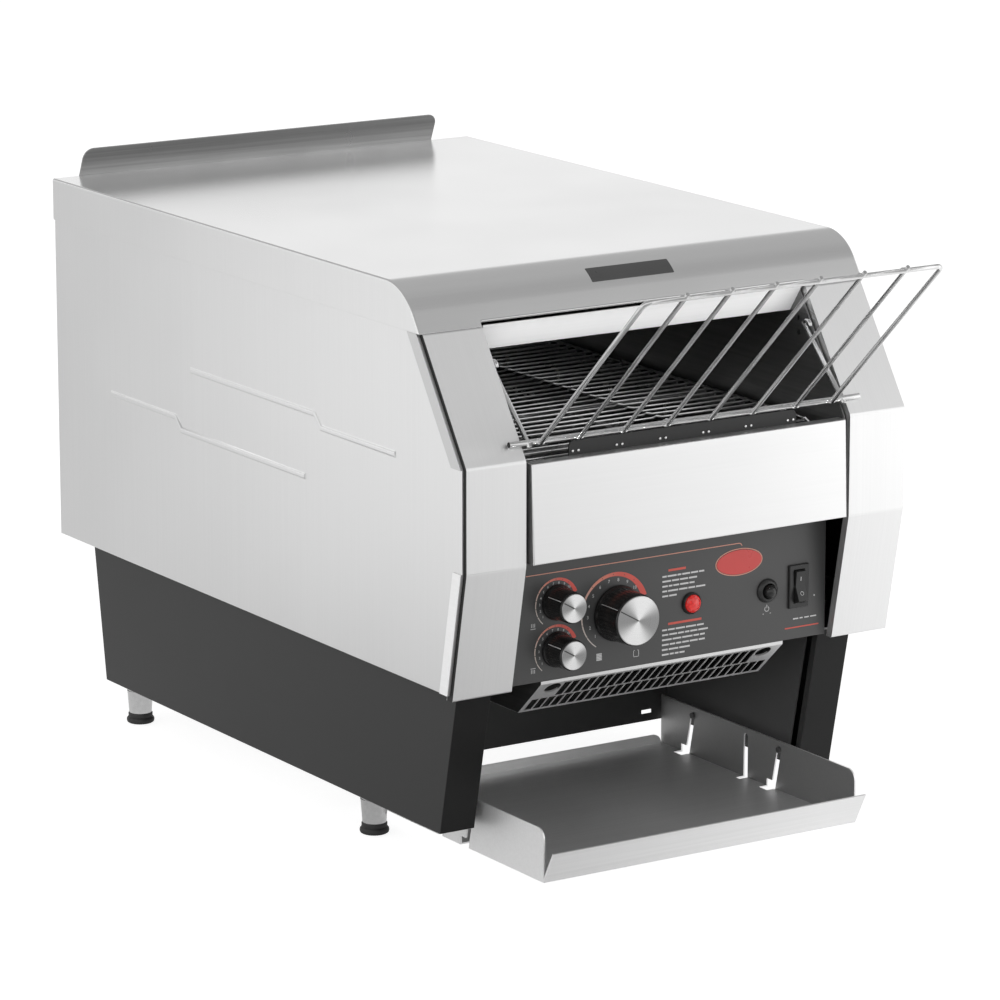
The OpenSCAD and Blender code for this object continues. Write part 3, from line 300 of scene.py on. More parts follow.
def makeEffect(name, fine, finePart, broad, broadPart):  # two noises, each (socket, kind, value, detail, roughness)
    group, start, end = newGroup(name, [fine[:3], broad[:3]],
                                 [(part, "NodeSocketFloat") for part in (finePart, broadPart)])
    coords = group.nodes.new("ShaderNodeTexCoord").outputs["Object"]
    for (label, kind, value, detail, roughness), part in ((fine, finePart), (broad, broadPart)):
        if kind == "NodeSocketVector":  # stretches the noise into streaks
            stretch = added(group, "ShaderNodeVectorMath", operation="MULTIPLY")
            wire(group, coords, stretch.inputs[0])
            wire(group, start.outputs[label], stretch.inputs[1])
            noise = noiseNode(group, stretch.outputs[0], 1.0, detail, roughness)
        else:
            noise = noiseNode(group, coords, value, detail, roughness)
            wire(group, start.outputs[label], noise.inputs["Scale"])
        wire(group, noise.outputs["Fac"], end.inputs[part])
    return group


def grey(tone):
    return (tone, tone, tone, 1) if isinstance(tone, (int, float)) else (*tone, 1)


noiseSpan = (0.3, 0.7)  # nearly all of a noise texture's values
relief = {"grain": 0.08, "peel": 0.05}  # millimetres


def ranged(tree, source, low, high, span=noiseSpan, smooth=False):  # the span's ends become low and high
    values = {"From Min": span[0], "From Max": span[1], "To Min": low, "To Max": high}
    node = added(tree, "ShaderNodeMapRange", values, interpolation_type="SMOOTHSTEP" if smooth else "LINEAR")
    wire(tree, source, node.inputs["Value"])
    return node.outputs["Result"]


def blended(tree, factor, low, high):  # low and high are fixed colours or sockets
    node = added(tree, "ShaderNodeMix", data_type="RGBA")
    for source, target in zip((low, high), [s for s in node.inputs if s.type == "RGBA"]):
        if isinstance(source, tuple):
            target.default_value = source
        else:
            wire(tree, source, target)
    wire(tree, factor, node.inputs["Factor"])
    return next(s for s in node.outputs if s.type == "RGBA")


def bumped(tree, height, strength, distance, target):
    bump = added(tree, "ShaderNodeBump", {"Strength": strength, "Distance": distance * mm})
    wire(tree, height, bump.inputs["Height"])
    wire(tree, bump.outputs["Normal"], target.inputs["Normal"])


def newFinish(name, values):  # values for the shader's own sockets
    material = bpy.data.materials.new(name)
    material.use_nodes = True
    return material, material.node_tree, setInputs(material.node_tree.nodes["Principled BSDF"], values)


# long streaks with a slow cloud over them, and fine bumps with faint rubbed patches
grainGroup = makeEffect("brushedGrain", ("Grain Scale", "NodeSocketVector", (900, 900, 4), 3.0, 0.62), "Streak",
                        ("Cloud Scale", "NodeSocketFloat", 6.0, 2.0, 0.55), "Cloud")
peelGroup = makeEffect("paintPeel", ("Peel Scale", "NodeSocketFloat", 700.0, 2.0, 0.55), "Height",
                       ("Patch Scale", "NodeSocketFloat", 9.0, 3.0, 0.6), "Patch")


def brushed(name, tone, rough, grain, contrast=0.05, bump=0.05, cloudScale=6.0, vary=0.04, metallic=1.0):
    material, tree, shader = newFinish(name, {"Metallic": metallic})
    effect = added(tree, "ShaderNodeGroup", {"Grain Scale": grain, "Cloud Scale": cloudScale}, node_tree=grainGroup)
    low, high = grey(tone * (1 - contrast)), grey(min(1, tone * (1 + contrast)))
    wire(tree, blended(tree, ranged(tree, effect.outputs["Streak"], 0, 1), low, high), shader.inputs["Base Color"])
    wire(tree, ranged(tree, effect.outputs["Cloud"], rough - vary, rough + vary), shader.inputs["Roughness"])
    bumped(tree, effect.outputs["Streak"], bump, relief["grain"], shader)
    return material


def coated(name, tone, rough, peel, bump, patch, change=0.12, coat=0.0, specular=0.5, vary=0.05):
    material, tree, shader = newFinish(name, {"Coat Weight": coat, "Specular IOR Level": specular})
    effect = added(tree, "ShaderNodeGroup", {"Peel Scale": peel, "Patch Scale": patch}, node_tree=peelGroup)
    low, high = (grey([min(1, part * (1 + shift)) for part in grey(tone)[:3]]) for shift in (-change, change))
    wire(tree, blended(tree, effect.outputs["Patch"], low, high), shader.inputs["Base Color"])
    wire(tree, ranged(tree, effect.outputs["Patch"], rough - vary, rough + vary), shader.inputs["Roughness"])
    bumped(tree, effect.outputs["Height"], bump, relief["peel"], shader)
    return material


coverSteel = brushed("coverSteel", tone=0.8, rough=0.22, grain=(3, 900, 900), contrast=0.012, bump=0.015, vary=0.02)
sideSteel = brushed("sideSteel", tone=0.8, rough=0.4, grain=(900, 900, 6), contrast=0.012, bump=0.02, vary=0.02)
# painted shade: the side panels' raised strip, darker above the fold
paintedShadeSteel = brushed("paintedShadeSteel", tone=0.62, rough=0.4, grain=(900, 900, 6), contrast=0.012, bump=0.02, vary=0.02)
trimSteel = brushed("trimSteel", tone=0.8, rough=0.45, grain=(700, 6, 6), contrast=0.015, bump=0.02, vary=0.02)
frontSteel = brushed("frontSteel", tone=0.79, rough=0.4, grain=(6, 6, 700), contrast=0.008, bump=0.01, vary=0.02)
# near-white and barely metal: steel with a painted highlight, for the strip over the opening and the side strips
# below the fold
paintedHighlightSteel = brushed("paintedHighlightSteel", tone=0.94, rough=0.5, grain=(6, 6, 400), contrast=0.02, bump=0.02, metallic=0.1)
# painted shade: the rear deflector's steel, darkened for the dark it reflects
deflectorPaintedShade = brushed("deflectorPaintedShade", tone=0.36, rough=0.32, grain=(5, 5, 500), contrast=0.14, bump=0.08,
                         cloudScale=18, vary=0.06)
traySteel = brushed("traySteel", tone=0.9, rough=0.48, grain=(4, 620, 620), contrast=0.03, bump=0.03, metallic=0.8)
# painted shade: the tray's right wall inner face, a darker copy of the tray steel
trayWallPaintedShade = brushed("trayWallPaintedShade", tone=0.42, rough=0.48, grain=(4, 620, 620), contrast=0.03, bump=0.03, metallic=0.8)
grilleSteel = brushed("grilleSteel", tone=0.7, rough=0.36, grain=(4, 500, 500), contrast=0.05, metallic=0.7)
plainSteel = brushed("plainSteel", tone=0.6, rough=0.35, grain=(60, 60, 60), contrast=0.06, cloudScale=12)
# dark steel for the inside parts; on the side panels' and the grille box's inner faces it stands as painted shade
innerSteel = brushed("innerSteel", tone=0.24, rough=0.42, grain=(6, 6, 420), contrast=0.12, cloudScale=14, vary=0.08)
wireChrome = brushed("wireChrome", tone=0.66, rough=0.14, grain=(300, 300, 300), contrast=0.05, bump=0.02)
beltSteel = brushed("beltSteel", tone=0.72, rough=0.32, grain=(160, 900, 900), contrast=0.2, bump=0.1, cloudScale=30,
                    vary=0.08)
heaterSteel = brushed("heaterSheath", tone=0.24, rough=0.5, grain=(200, 200, 200), contrast=0.25, bump=0.15,
                      cloudScale=40)
shaftSteel = brushed("shaftSteel", tone=0.62, rough=0.22, grain=(900, 4, 4), contrast=0.06)
gearSteel = brushed("sprocketSteel", tone=0.42, rough=0.36, grain=(240, 240, 240), contrast=0.12)
bronze = brushed("bearingBronze", tone=0.5, rough=0.36, grain=(240, 240, 240), contrast=0.1)
blackPaint = coated("blackPaint", tone=0.03, rough=0.4, peel=900, bump=0.12, patch=5, change=0.1, specular=0.3)
linerPaint = coated("linerPaint", tone=0.075, rough=0.45, peel=900, bump=0.12, patch=5, change=0.15)
panelPaint = coated("panelPaint", tone=0.062, rough=0.33, peel=1100, bump=0.06, patch=6, change=0.06)
# painted shade: the base legs' front faces, a darker copy of the black paint
blackPaintPaintedShade = coated("blackPaintPaintedShade", tone=0.014, rough=0.34, peel=300, bump=0.04, patch=12, change=0.1, specular=0.15)
blackPlastic = coated("blackPlastic", tone=0.017, rough=0.34, peel=1500, bump=0.14, patch=20)
knobPlastic = coated("knobPlastic", tone=0.012, rough=0.22, peel=1600, bump=0.1, patch=22)
greyPlastic = coated("greyPlastic", tone=0.16, rough=0.4, peel=1200, bump=0.1, patch=20)
padRubber = coated("padRubber", tone=0.014, rough=0.6, peel=1400, bump=0.3, patch=25)
ceramic = coated("ceramic", tone=(0.72, 0.69, 0.62), rough=0.45, peel=900, bump=0.15, patch=30)
motorPaint = coated("motorPaint", tone=0.09, rough=0.4, peel=800, bump=0.15, patch=20)
# near-black painted shade: the slit beside the corner trims, also put on the rack wires' cut ends
paintedShadeBlack = coated("paintedShadeBlack", tone=0.008, rough=0.6, peel=500, bump=0.05, patch=20)
inkWhite = coated("inkWhite", tone=0.62, rough=0.4, peel=900, bump=0.02, patch=60, change=0.06)
inkRed = coated("inkRed", tone=(0.62, 0.09, 0.065), rough=0.38, peel=900, bump=0.02, patch=60, change=0.08)
inkPeach = coated("inkPeach", tone=(0.66, 0.30, 0.22), rough=0.4, peel=900, bump=0.02, patch=60, change=0.08)
badgeRed = coated("badgeRed", tone=(0.60, 0.045, 0.04), rough=0.3, peel=900, bump=0.03, patch=40, change=0.06,
                  coat=0.3)
plateFilm = coated("plateFilm", tone=0.075, rough=0.3, peel=700, bump=0.05, patch=30, change=0.1)

# dark and bright are the painted shade and painted highlight tones of the discs' fans
spun = {"noise": {"Scale": 60, "Detail": 3}, "pointer": 150, "dark": (0.24, 0.32), "bright": (0.78, 0.92),
        "rough": (0.26, 0.34), "drawn": 0.6, "bump": 0.15, "deep": 0.04}


def turningMap(tree):  # X runs along the turn, Y across it
    split = added(tree, "ShaderNodeSeparateXYZ")
    wire(tree, added(tree, "ShaderNodeUVMap", uv_map="turning").outputs["UV"], split.inputs["Vector"])
    return split.outputs


def makeSpunMetalPaintedSheen():  # rings turned by the lathe, with the light drawn out across them, and two fans of painted highlight between painted shade in the base colour
    material, tree, shader = newFinish("spunAluminiumPaintedSheen", {"Metallic": 1, "Anisotropic": spun["drawn"]})
    turning = turningMap(tree)
    rings = added(tree, "ShaderNodeTexNoise", spun["noise"], noise_dimensions="1D")
    wire(tree, turning["Y"], rings.inputs["W"])
    twice = {1: 4 * math.pi, 2: -math.radians(spun["pointer"])}  # two fans of painted highlight in a turn
    around = added(tree, "ShaderNodeMath", twice, operation="MULTIPLY_ADD")
    wire(tree, turning["X"], around.inputs[0])
    sheen = added(tree, "ShaderNodeMath", operation="COSINE")
    wire(tree, around.outputs[0], sheen.inputs[0])
    fan = ranged(tree, sheen.outputs[0], 0, 1, (-1, 1), True)
    low = blended(tree, rings.outputs["Fac"], *map(grey, spun["dark"]))
    high = blended(tree, rings.outputs["Fac"], *map(grey, spun["bright"]))
    wire(tree, blended(tree, fan, low, high), shader.inputs["Base Color"])
    wire(tree, ranged(tree, rings.outputs["Fac"], *spun["rough"]), shader.inputs["Roughness"])
    tangent = added(tree, "ShaderNodeTangent", direction_type="UV_MAP", uv_map="turning")
    wire(tree, tangent.outputs["Tangent"], shader.inputs["Tangent"])
    bumped(tree, rings.outputs["Fac"], spun["bump"], spun["deep"], shader)
    return material


lensLook = {"facets": 620, "body": ((0.75, 0.02, 0.015), (0.45, 0.005, 0.005)), "bump": 0.35, "deep": 0.2,
            "glow": ((0.9, 0.03, 0.02), (0.5, 0.0, 0.0)),
            "shader": {"Roughness": 0.1, "Coat Weight": 0.5, "Emission Strength": 0.22}}


def makeLensRed():  # faceted red cap with a faint glow of its own
    material, tree, shader = newFinish("redLens", lensLook["shader"])
    facets = added(tree, "ShaderNodeTexVoronoi", {"Scale": lensLook["facets"]})
    wire(tree, added(tree, "ShaderNodeTexCoord").outputs["Object"], facets.inputs["Vector"])
    for part, socket in (("body", "Base Color"), ("glow", "Emission Color")):
        wire(tree, blended(tree, facets.outputs["Distance"], *map(grey, lensLook[part])), shader.inputs[socket])
    bumped(tree, facets.outputs["Distance"], lensLook["bump"], lensLook["deep"], shader)
    return material


dialLook = {"rough": 0.4, "stops": ((0.0, (0.62, 0.58, 0.54)), (0.3, (0.64, 0.52, 0.46)), (0.52, (0.66, 0.25, 0.18)),
                                    (0.72, (0.66, 0.1, 0.075)), (1.0, (0.66, 0.08, 0.06)))}


def rampColour(tree, source, steps):  # steps run from 0 to the last place
    ramp = added(tree, "ShaderNodeValToRGB")
    stops = ramp.color_ramp.elements
    for stop, (place, colour) in zip(stops, (steps[0], steps[-1])):
        stop.position, stop.color = place, grey(colour)
    for place, colour in steps[1:-1]:
        stops.new(place).color = grey(colour)
    wire(tree, source, ramp.inputs["Fac"])
    return ramp.outputs["Color"]


def makeDialInk():  # pale at the low end of the scale, red at the high end
    material, tree, shader = newFinish("dialInk", {"Roughness": dialLook["rough"]})
    wire(tree, rampColour(tree, turningMap(tree)["X"], dialLook["stops"]), shader.inputs["Base Color"])
    return material


spunAluminiumPaintedSheen, redLens, dialInk = makeSpunMetalPaintedSheen(), makeLensRed(), makeDialInk()
print("finishes ready")

coverShape = {"bend": {"width": 1.5, "segments": 4, "angle": 60}, "rim": {"width": 0.25, "segments": 2, "angle": 60},
              "above": 0.6, "ahead": 0.2}  # the bends stay above the flange's foot and ahead of the rear edge
coverLow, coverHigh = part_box("top_cover")


def onCoverSide(edge):
    return all(nearly(abs(place.x), coverHigh.x) for place in (middle(edge), edge.verts[0].co, edge.verts[1].co))


cover = copyNode("top_cover", "topCover")
soften(cover, coverShape["bend"], lambda e: onCoverSide(e) and middle(e).z > coverLow.z + coverShape["above"] * mm
       and middle(e).y < coverHigh.y - coverShape["ahead"] * mm)
soften(cover, coverShape["rim"])
smoothed(cover)
dress(cover, "housing", [coverSteel, sideSteel], ["top_cover"], lambda f: int(abs(f.normal.x) > 0.9))

hemLine = {"y": 57.2, "z": 383.5, "half": 133.2, "radius": 0.75, "sides": 12}
hem = wirePath("coverHem", [at(x, hemLine["y"], hemLine["z"]) for x in (-hemLine["half"], hemLine["half"])],
               hemLine["radius"], hemLine["sides"])
dress(smoothed(hem, 50, False), "housing", wireChrome)

deflector = softNode("rear_deflector", "rearDeflector", {"width": 0.45, "segments": 3, "angle": 40})
dress(deflector, "housing", deflectorPaintedShade, ["rear_deflector"])

sideShape = {"bead": {"width": 0.4, "segments": 3, "angle": 20}, "beadTop": 183.8,
             "rim": {"width": 0.25, "segments": 2, "angle": 70, "longerThan": 30},
             "skin": 182.8, "strip": 1.1, "fold": 290}  # the raised strip takes painted shade above the fold and a near-white painted highlight below it
trimShape = {"bend": {"width": 1.2, "segments": 3, "angle": 10, "longerThan": 30},
             "corner": {"width": 1.4, "segments": 3, "longerThan": 10},
             "rim": {"width": 0.25, "segments": 2, "angle": 70, "longerThan": 10}, "return": 2.7}
for side, sign in (("left", -1), ("right", 1)):
    panel = copyNode(f"side_panel_{side}", f"sidePanel{side.title()}")
    soften(panel, sideShape["bead"], lambda e: nearly(abs(middle(e).x), sideShape["beadTop"] * mm, flush))
    soften(panel, sideShape["rim"], lambda e: abs(middle(e).x) > (sideShape["skin"] - slack) * mm)
    smoothed(panel, 30)
    stripAt = (sideShape["skin"] + sideShape["strip"]) * mm
    # the inner face takes the dark inner steel as painted shade; the raised strip is painted shade above the fold and
    # painted highlight below it
    dress(panel, "housing", [sideSteel, innerSteel, paintedShadeSteel, paintedHighlightSteel], [f"side_panel_{side}"],
          lambda f: 1 if f.normal.x * sign < -0.9 else 0 if f.center.x * sign < stripAt
          else 2 if f.center.z > sideShape["fold"] * mm else 3)

    trim = copyNode(f"corner_trim_{side}", f"cornerTrim{side.title()}")
    soften(trim, trimShape["bend"], lambda e: abs(flow(e).x) > 0.9)
    soften(trim, trimShape["corner"], lambda e: any(f.normal.x * sign > 0.9 for f in e.link_faces)
           and any(f.normal.y < -0.5 for f in e.link_faces))
    soften(trim, trimShape["rim"])
    smoothed(trim)
    # the trim's outer return, set back in the slit beside the side panel, is painted near-black: painted shade
    trimOut = max(abs(corner.x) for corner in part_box(f"corner_trim_{side}")) - trimShape["return"] * mm
    dress(trim, "housing", [trimSteel, paintedShadeBlack], [f"corner_trim_{side}"],
          lambda f: int(f.normal.x * sign > 0.9 and f.center.x * sign > trimOut))

# the strip over the opening takes the near-white steel: painted highlight
strip = softNode("opening_strip", "openingStrip", {"width": 0.3, "segments": 2, "angle": 30})
dress(strip, "housing", paintedHighlightSteel, ["opening_strip"])

frontEdge = {"width": 0.9, "segments": 3, "angle": 60, "deep": 1.5}
frontPanel = softNode("front_panel", "frontPanel", frontEdge, lambda e: middle(e).y < frontY + frontEdge["deep"] * mm)
dress(frontPanel, "housing", frontSteel, ["front_panel"])

guardEdge = {"width": 0.45, "segments": 3, "angle": 60, "rivetDeep": 0.7}
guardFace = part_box("guard_strip")[0].y
guard = softNode("guard_strip", "guardStrip", guardEdge, lambda e: nearly(middle(e).y, guardFace, flush))
dress(guard, "housing", [blackPaint, wireChrome], ["guard_strip"],
      lambda f: int(f.center.y < guardFace + guardEdge["rivetDeep"] * mm))
print("casing ready")

plate = {"left": -36.3, "right": 31.2, "y": 96.77, "z": 371, "radius": 40.35, "from": 119.2, "to": 137,
         "thick": 0.3, "rim": 0.12, "steps": 12}
bpy.ops.mesh.primitive_grid_add(x_subdivisions=2, y_subdivisions=plate["steps"], size=1)
rollPlate = named(settle(bpy.context.object), "rollPlate")
for point in rollPlate.data.vertices:  # the flat grid is rolled onto the cover's bend
    along, turn = point.co.x + 0.5, point.co.y + 0.5
    angle = math.radians(plate["to"] + (plate["from"] - plate["to"]) * turn)
    point.co = at(plate["left"] + (plate["right"] - plate["left"]) * along,
                  plate["y"] + plate["radius"] * math.cos(angle), plate["z"] + plate["radius"] * math.sin(angle))
applied(rollPlate, "SOLIDIFY", thickness=plate["thick"] * mm, offset=-1)
bevelWhere(rollPlate, plate["rim"], 2, lambda e: sharp(e, 60))
dress(smoothed(rollPlate), "housing", plateFilm)

rackShape = {"flat": 0.1, "rise": 43.2, "length": 168, "barY": 4.9385, "barZ": 309.104, "half": 120.3, "count": 6,
             "spread": 1.036, "end": {"width": 0.4, "segments": 2, "angle": 80}, "endSides": 24, "dark": 0.1}
weldShape = {"size": (2.3, 1.5, 1.0), "along": 0.2, "apart": 1.5, "under": 0.7, "twist": 0.3,
             "rows": ((0, 0.6), (rackShape["length"], -0.3))}  # the bar's and the far wire's welds, and their drop
rack = copyNode("loading_rack", "rackWires", rackShape["flat"])
soften(rack, rackShape["end"], lambda e: max(len(f.verts) for f in e.link_faces) > rackShape["endSides"])
smoothed(rack, 35, False)
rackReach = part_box("loading_rack")[1].x


def wireEnd(face):  # the cut ends of the cross wires, which take the near-black painted-shade finish
    return int(abs(face.normal.x) > 0.95 and abs(face.center.x) > rackReach - rackShape["dark"] * mm)


rise = math.radians(rackShape["rise"])
upRack = Vector((0, -math.cos(rise), math.sin(rise)))
offRack = Vector((0, math.sin(rise), math.cos(rise)))
barPoint = at(0, rackShape["barY"], rackShape["barZ"])
wireXs = [rackShape["half"] * (2 * (i + 1) / (rackShape["count"] + 1) - 1) * rackShape["spread"]
          for i in range(rackShape["count"])]
bpy.ops.mesh.primitive_ico_sphere_add(subdivisions=2, radius=1)
weld = bpy.context.object
weld.scale = Vector(weldShape["size"]) * mm
settle(weld)
welds = []
for x in wireXs + [-rackShape["half"], rackShape["half"]]:
    for place, drop in weldShape["rows"]:
        if place and abs(x) >= rackShape["half"]:
            continue
        for hand in (-1, 1):
            spot = barPoint + upRack * (place + weldShape["along"]) * mm - offRack * (drop + weldShape["under"]) * mm
            spot += Vector((x + hand * weldShape["apart"], 0, 0)) * mm
            twist = Matrix.Rotation(rng.uniform(-weldShape["twist"], weldShape["twist"]), 4, "Z")
            welds.append(copied(weld, spot, Matrix.Rotation(rise, 4, "X") @ twist))
bpy.data.objects.remove(weld)
welds = smoothed(joined("rackWelds", welds), 60, False)
dress(rack, "rack", [wireChrome, paintedShadeBlack], ["loading_rack"], wireEnd)
dress(welds, "rack", wireChrome)
print("rack ready")

belt = {"half": 127, "wire": 0.95, "pitch": 12.006, "turn": 23, "front": 44, "rear": 470, "axle": 266, "count": 83,
        "knuckle": 39, "straight": 60, "bow": 0.9, "bowEnd": 88, "shake": ((-0.35, 0.35), (-0.15, 0.05))}
hook = ((4.6, belt["pitch"] + 0.4, -1.9), (4.2, belt["pitch"] + 1.9, -0.4), (3.6, belt["pitch"] + 0.6, 1.9),
        (2.6, belt["pitch"] - 3, 1.2), (0.6, 2.2, 0.1), (0.6, 0.8, 0), (2.0, 0, 0))  # inward, forward, up
kink = ((-4, 0, 0), (-1.6, 0.9, 0.5), (0, 1.5, 0.8), (1.6, 0.9, 0.5), (4, 0, 0))
strandLine = [(inset - belt["half"], y, z) for inset, y, z in hook]
strandLine += [(belt["knuckle"] - belt["straight"], -belt["bow"], 0)]
strandLine += [(belt["knuckle"] + x, y, z) for x, y, z in kink] + [(belt["bowEnd"], -belt["bow"], 0)]
strandLine += [(belt["half"] - inset, y, z) for inset, y, z in reversed(hook)]
strand = wirePath("strand", [Vector(point) * mm for point in strandLine], belt["wire"], 6)
runLength, turnLength = belt["rear"] - belt["front"], math.pi * belt["turn"]
loopLength = 2 * runLength + 2 * turnLength


def beltPlace(s):  # y, z and lean at a length s round the loop, from the front of the upper run
    if s < runLength:
        return belt["front"] + s, belt["axle"] + belt["turn"], 0
    if s < runLength + turnLength:
        lean, axle = (s - runLength) / belt["turn"], belt["rear"]
    elif s < 2 * runLength + turnLength:
        return belt["rear"] - (s - runLength - turnLength), belt["axle"] - belt["turn"], math.pi
    else:
        lean, axle = math.pi + (s - 2 * runLength - turnLength) / belt["turn"], belt["front"]
    return axle + belt["turn"] * math.sin(lean), belt["axle"] + belt["turn"] * math.cos(lean), lean


strands = []
for i in range(belt["count"]):
    y, z, lean = beltPlace((i + 0.5) * loopLength / belt["count"])
    bent = lean + (0.5 * belt["pitch"] / belt["turn"] if lean not in (0, math.pi) else 0)
    shake = Vector((0, *(rng.uniform(*reach) * mm for reach in belt["shake"])))
    strands.append(copied(strand, at(0, y, z) + shake, Matrix.Rotation(-bent, 4, "X")))
bpy.data.objects.remove(strand)
beltPiece = smoothed(joined("conveyorBelt", strands), 60, False)
dress(beltPiece, "housing", beltSteel, ["conveyor_belt"])
print("belt ready")

baseEdge = {"width": 1.1, "segments": 3, "angle": 60, "longerThan": 20}
boardEdge = {"width": 0.4, "segments": 2, "angle": 60}
for side in ("left", "right"):
    base = softNode(f"base_side_{side}", f"baseSide{side.title()}", baseEdge)
    dress(base, "housing", [blackPaint, blackPaintPaintedShade], [f"base_side_{side}"],
          lambda f: int(f.normal.y < -0.7))  # the legs' front faces are painted darker: painted shade
for node, name in (("base_cross_panel", "crossPanel"), ("base_rear_panel", "baseRearPanel")):
    dress(softNode(node, name, boardEdge), "housing", blackPaint, [node])

grille = softNode("grille_box", "grilleBox", {"width": 0.35, "segments": 2, "angle": 30, "longerThan": 24})
# faces that look neither forward nor down take the dark inner steel: painted shade inside the box, seen through the
# slots
dress(grille, "housing", [grilleSteel, innerSteel], ["grille_box"],
      lambda f: int(f.normal.y >= -0.3 and f.normal.z >= -0.3))

trayShape = {"fold": {"width": 1.3, "segments": 3, "angle": 40, "longerThan": 24}, "floor": 0.2,
             "rim": {"width": 0.28, "segments": 2, "angle": 60, "longerThan": 3}}
tray = copyNode("collector_tray", "collectorTray")
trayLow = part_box("collector_tray")[0]
soften(tray, trayShape["fold"], lambda e: middle(e).z < trayLow.z + trayShape["floor"] * mm)
soften(tray, trayShape["rim"])
smoothed(tray)
dress(tray, "tray", [traySteel, trayWallPaintedShade], ["collector_tray"],
      lambda f: int(f.normal.x < -0.9 and f.center.x > 0))  # the right wall's inner face, painted darker: painted shade
print("base and tray ready")

footShape = {"reach": 10.5, "sides": 48,
             "metal": [(8.3, 7.6), (8.6, 8.2), (8.9, 13), (9.2, 17), (9.7, 23.4), (10.0, 25.2), (9.6, 25.6),
                       (9.6, 26.2), (10.5, 26.6), (10.5, 27.9)],
             "rubber": [(9.2, 0.0), (10.1, 0.6), (10.5, 1.8), (10.4, 3.2), (9.7, 4.2), (9.1, 4.8), (9.2, 7.2),
                        (8.8, 7.9)]}
footLow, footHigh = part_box("feet")
footReach = footShape["reach"] * mm
footSpots = [(x, y, 0) for x in (footLow.x + footReach, footHigh.x - footReach)
             for y in (footLow.y + footReach, footHigh.y - footReach)]
for name, node, shape, material, slotName in (("footLegs", "feet", "metal", wireChrome, "casing_steel"),
                                              ("footPads", "foot_pads", "rubber", padRubber, "pad_rubber")):
    first = turned(name + "First", footShape[shape], facing="up", sides=footShape["sides"])
    legs = [copied(first, spot) for spot in footSpots]
    bpy.data.objects.remove(first)
    dress(smoothed(joined(name, legs), 35), "housing", material, [node])

panelFront = 25  # face of the control panel, behind the trims' face
panelEdge = {"width": 0.3, "segments": 2, "angle": 60}
controlPanel = softNode("control_panel", "controlPanel", panelEdge,
                        lambda e: nearly(middle(e).y, frontY + panelFront * mm, flush))
dress(controlPanel, "housing", panelPaint, ["control_panel"])
ink = {"thick": 0.08, "sunk": 0.02, "text": 0.04, "dot": 0.07}  # how far the print stands out of the panel


def ringStrip(name, x, z, radius, widths, angles, sides=96):  # angles run clockwise, widths (start, end, power)
    inner, between = 0.9, 0.95  # share of the radius, and what tells the two rims apart
    bpy.ops.mesh.primitive_circle_add(vertices=sides, radius=radius * mm, fill_type="NOTHING")
    piece = named(bpy.context.object, name)
    editing(piece, "EDGE")
    bpy.ops.mesh.select_all(action="SELECT")
    bpy.ops.mesh.extrude_region_move()
    bpy.ops.transform.resize(value=(inner, inner, 1), center_override=(0, 0, 0))
    bpy.ops.mesh.select_mode(type="FACE")
    first, last = angles
    span = first - last

    def share(co):
        return ((first - math.degrees(math.atan2(co.y, co.x)) + 1e-3) % 360) / span

    pick(piece, "FACE", lambda f: share(f.calc_center_median()) > 1)
    if any(f.select for f in bmesh.from_edit_mesh(piece.data).faces):
        bpy.ops.mesh.delete(type="FACE")
    done()
    turning = piece.data.uv_layers.new(name="turning")
    for face in piece.data.polygons:
        centreShare = share(face.center)
        for loop in face.loop_indices:
            co = piece.data.vertices[piece.data.loops[loop].vertex_index].co
            t = share(co)
            t = t if abs(t - centreShare) < 0.5 else (0 if centreShare < 0.5 else 1)
            turning.data[loop].uv = (min(1, t), 0 if co.length > between * radius * mm else 1)
    for point in piece.data.vertices:
        t = share(point.co)
        t = t if t <= 1.02 else 0  # the first rim, which the wrap puts past the end
        if point.co.length < between * radius * mm:
            point.co *= (radius - widths[0] - (widths[1] - widths[0]) * min(1, t) ** widths[2]) / (inner * radius)
    stood(piece, at(x, panelFront - ink["sunk"], z))
    return applied(piece, "SOLIDIFY", thickness=ink["thick"] * mm, offset=1)


def numeral(text, x, z, size):
    bpy.ops.object.text_add(location=at(x, panelFront - ink["sunk"], z), rotation=(math.pi / 2, 0, 0))
    piece = bpy.context.object
    piece.data.body = text
    piece.data.size = size * mm
    piece.data.align_x, piece.data.align_y = "CENTER", "CENTER"
    piece.data.extrude = ink["text"] * mm
    piece.data.resolution_u = 2
    only(piece)
    bpy.ops.object.convert(target="MESH")
    return settle(bpy.context.object)


def bar(x0, x1, z0, z1):
    return block("bar", at(x0, panelFront - ink["thick"], z0), at(x1, panelFront + ink["sunk"], z1))


def dot(x, z, radius, high=ink["dot"]):
    return turned("dot", [(radius, -ink["sunk"]), (radius, high)], at(x, panelFront, z), "front", 10)


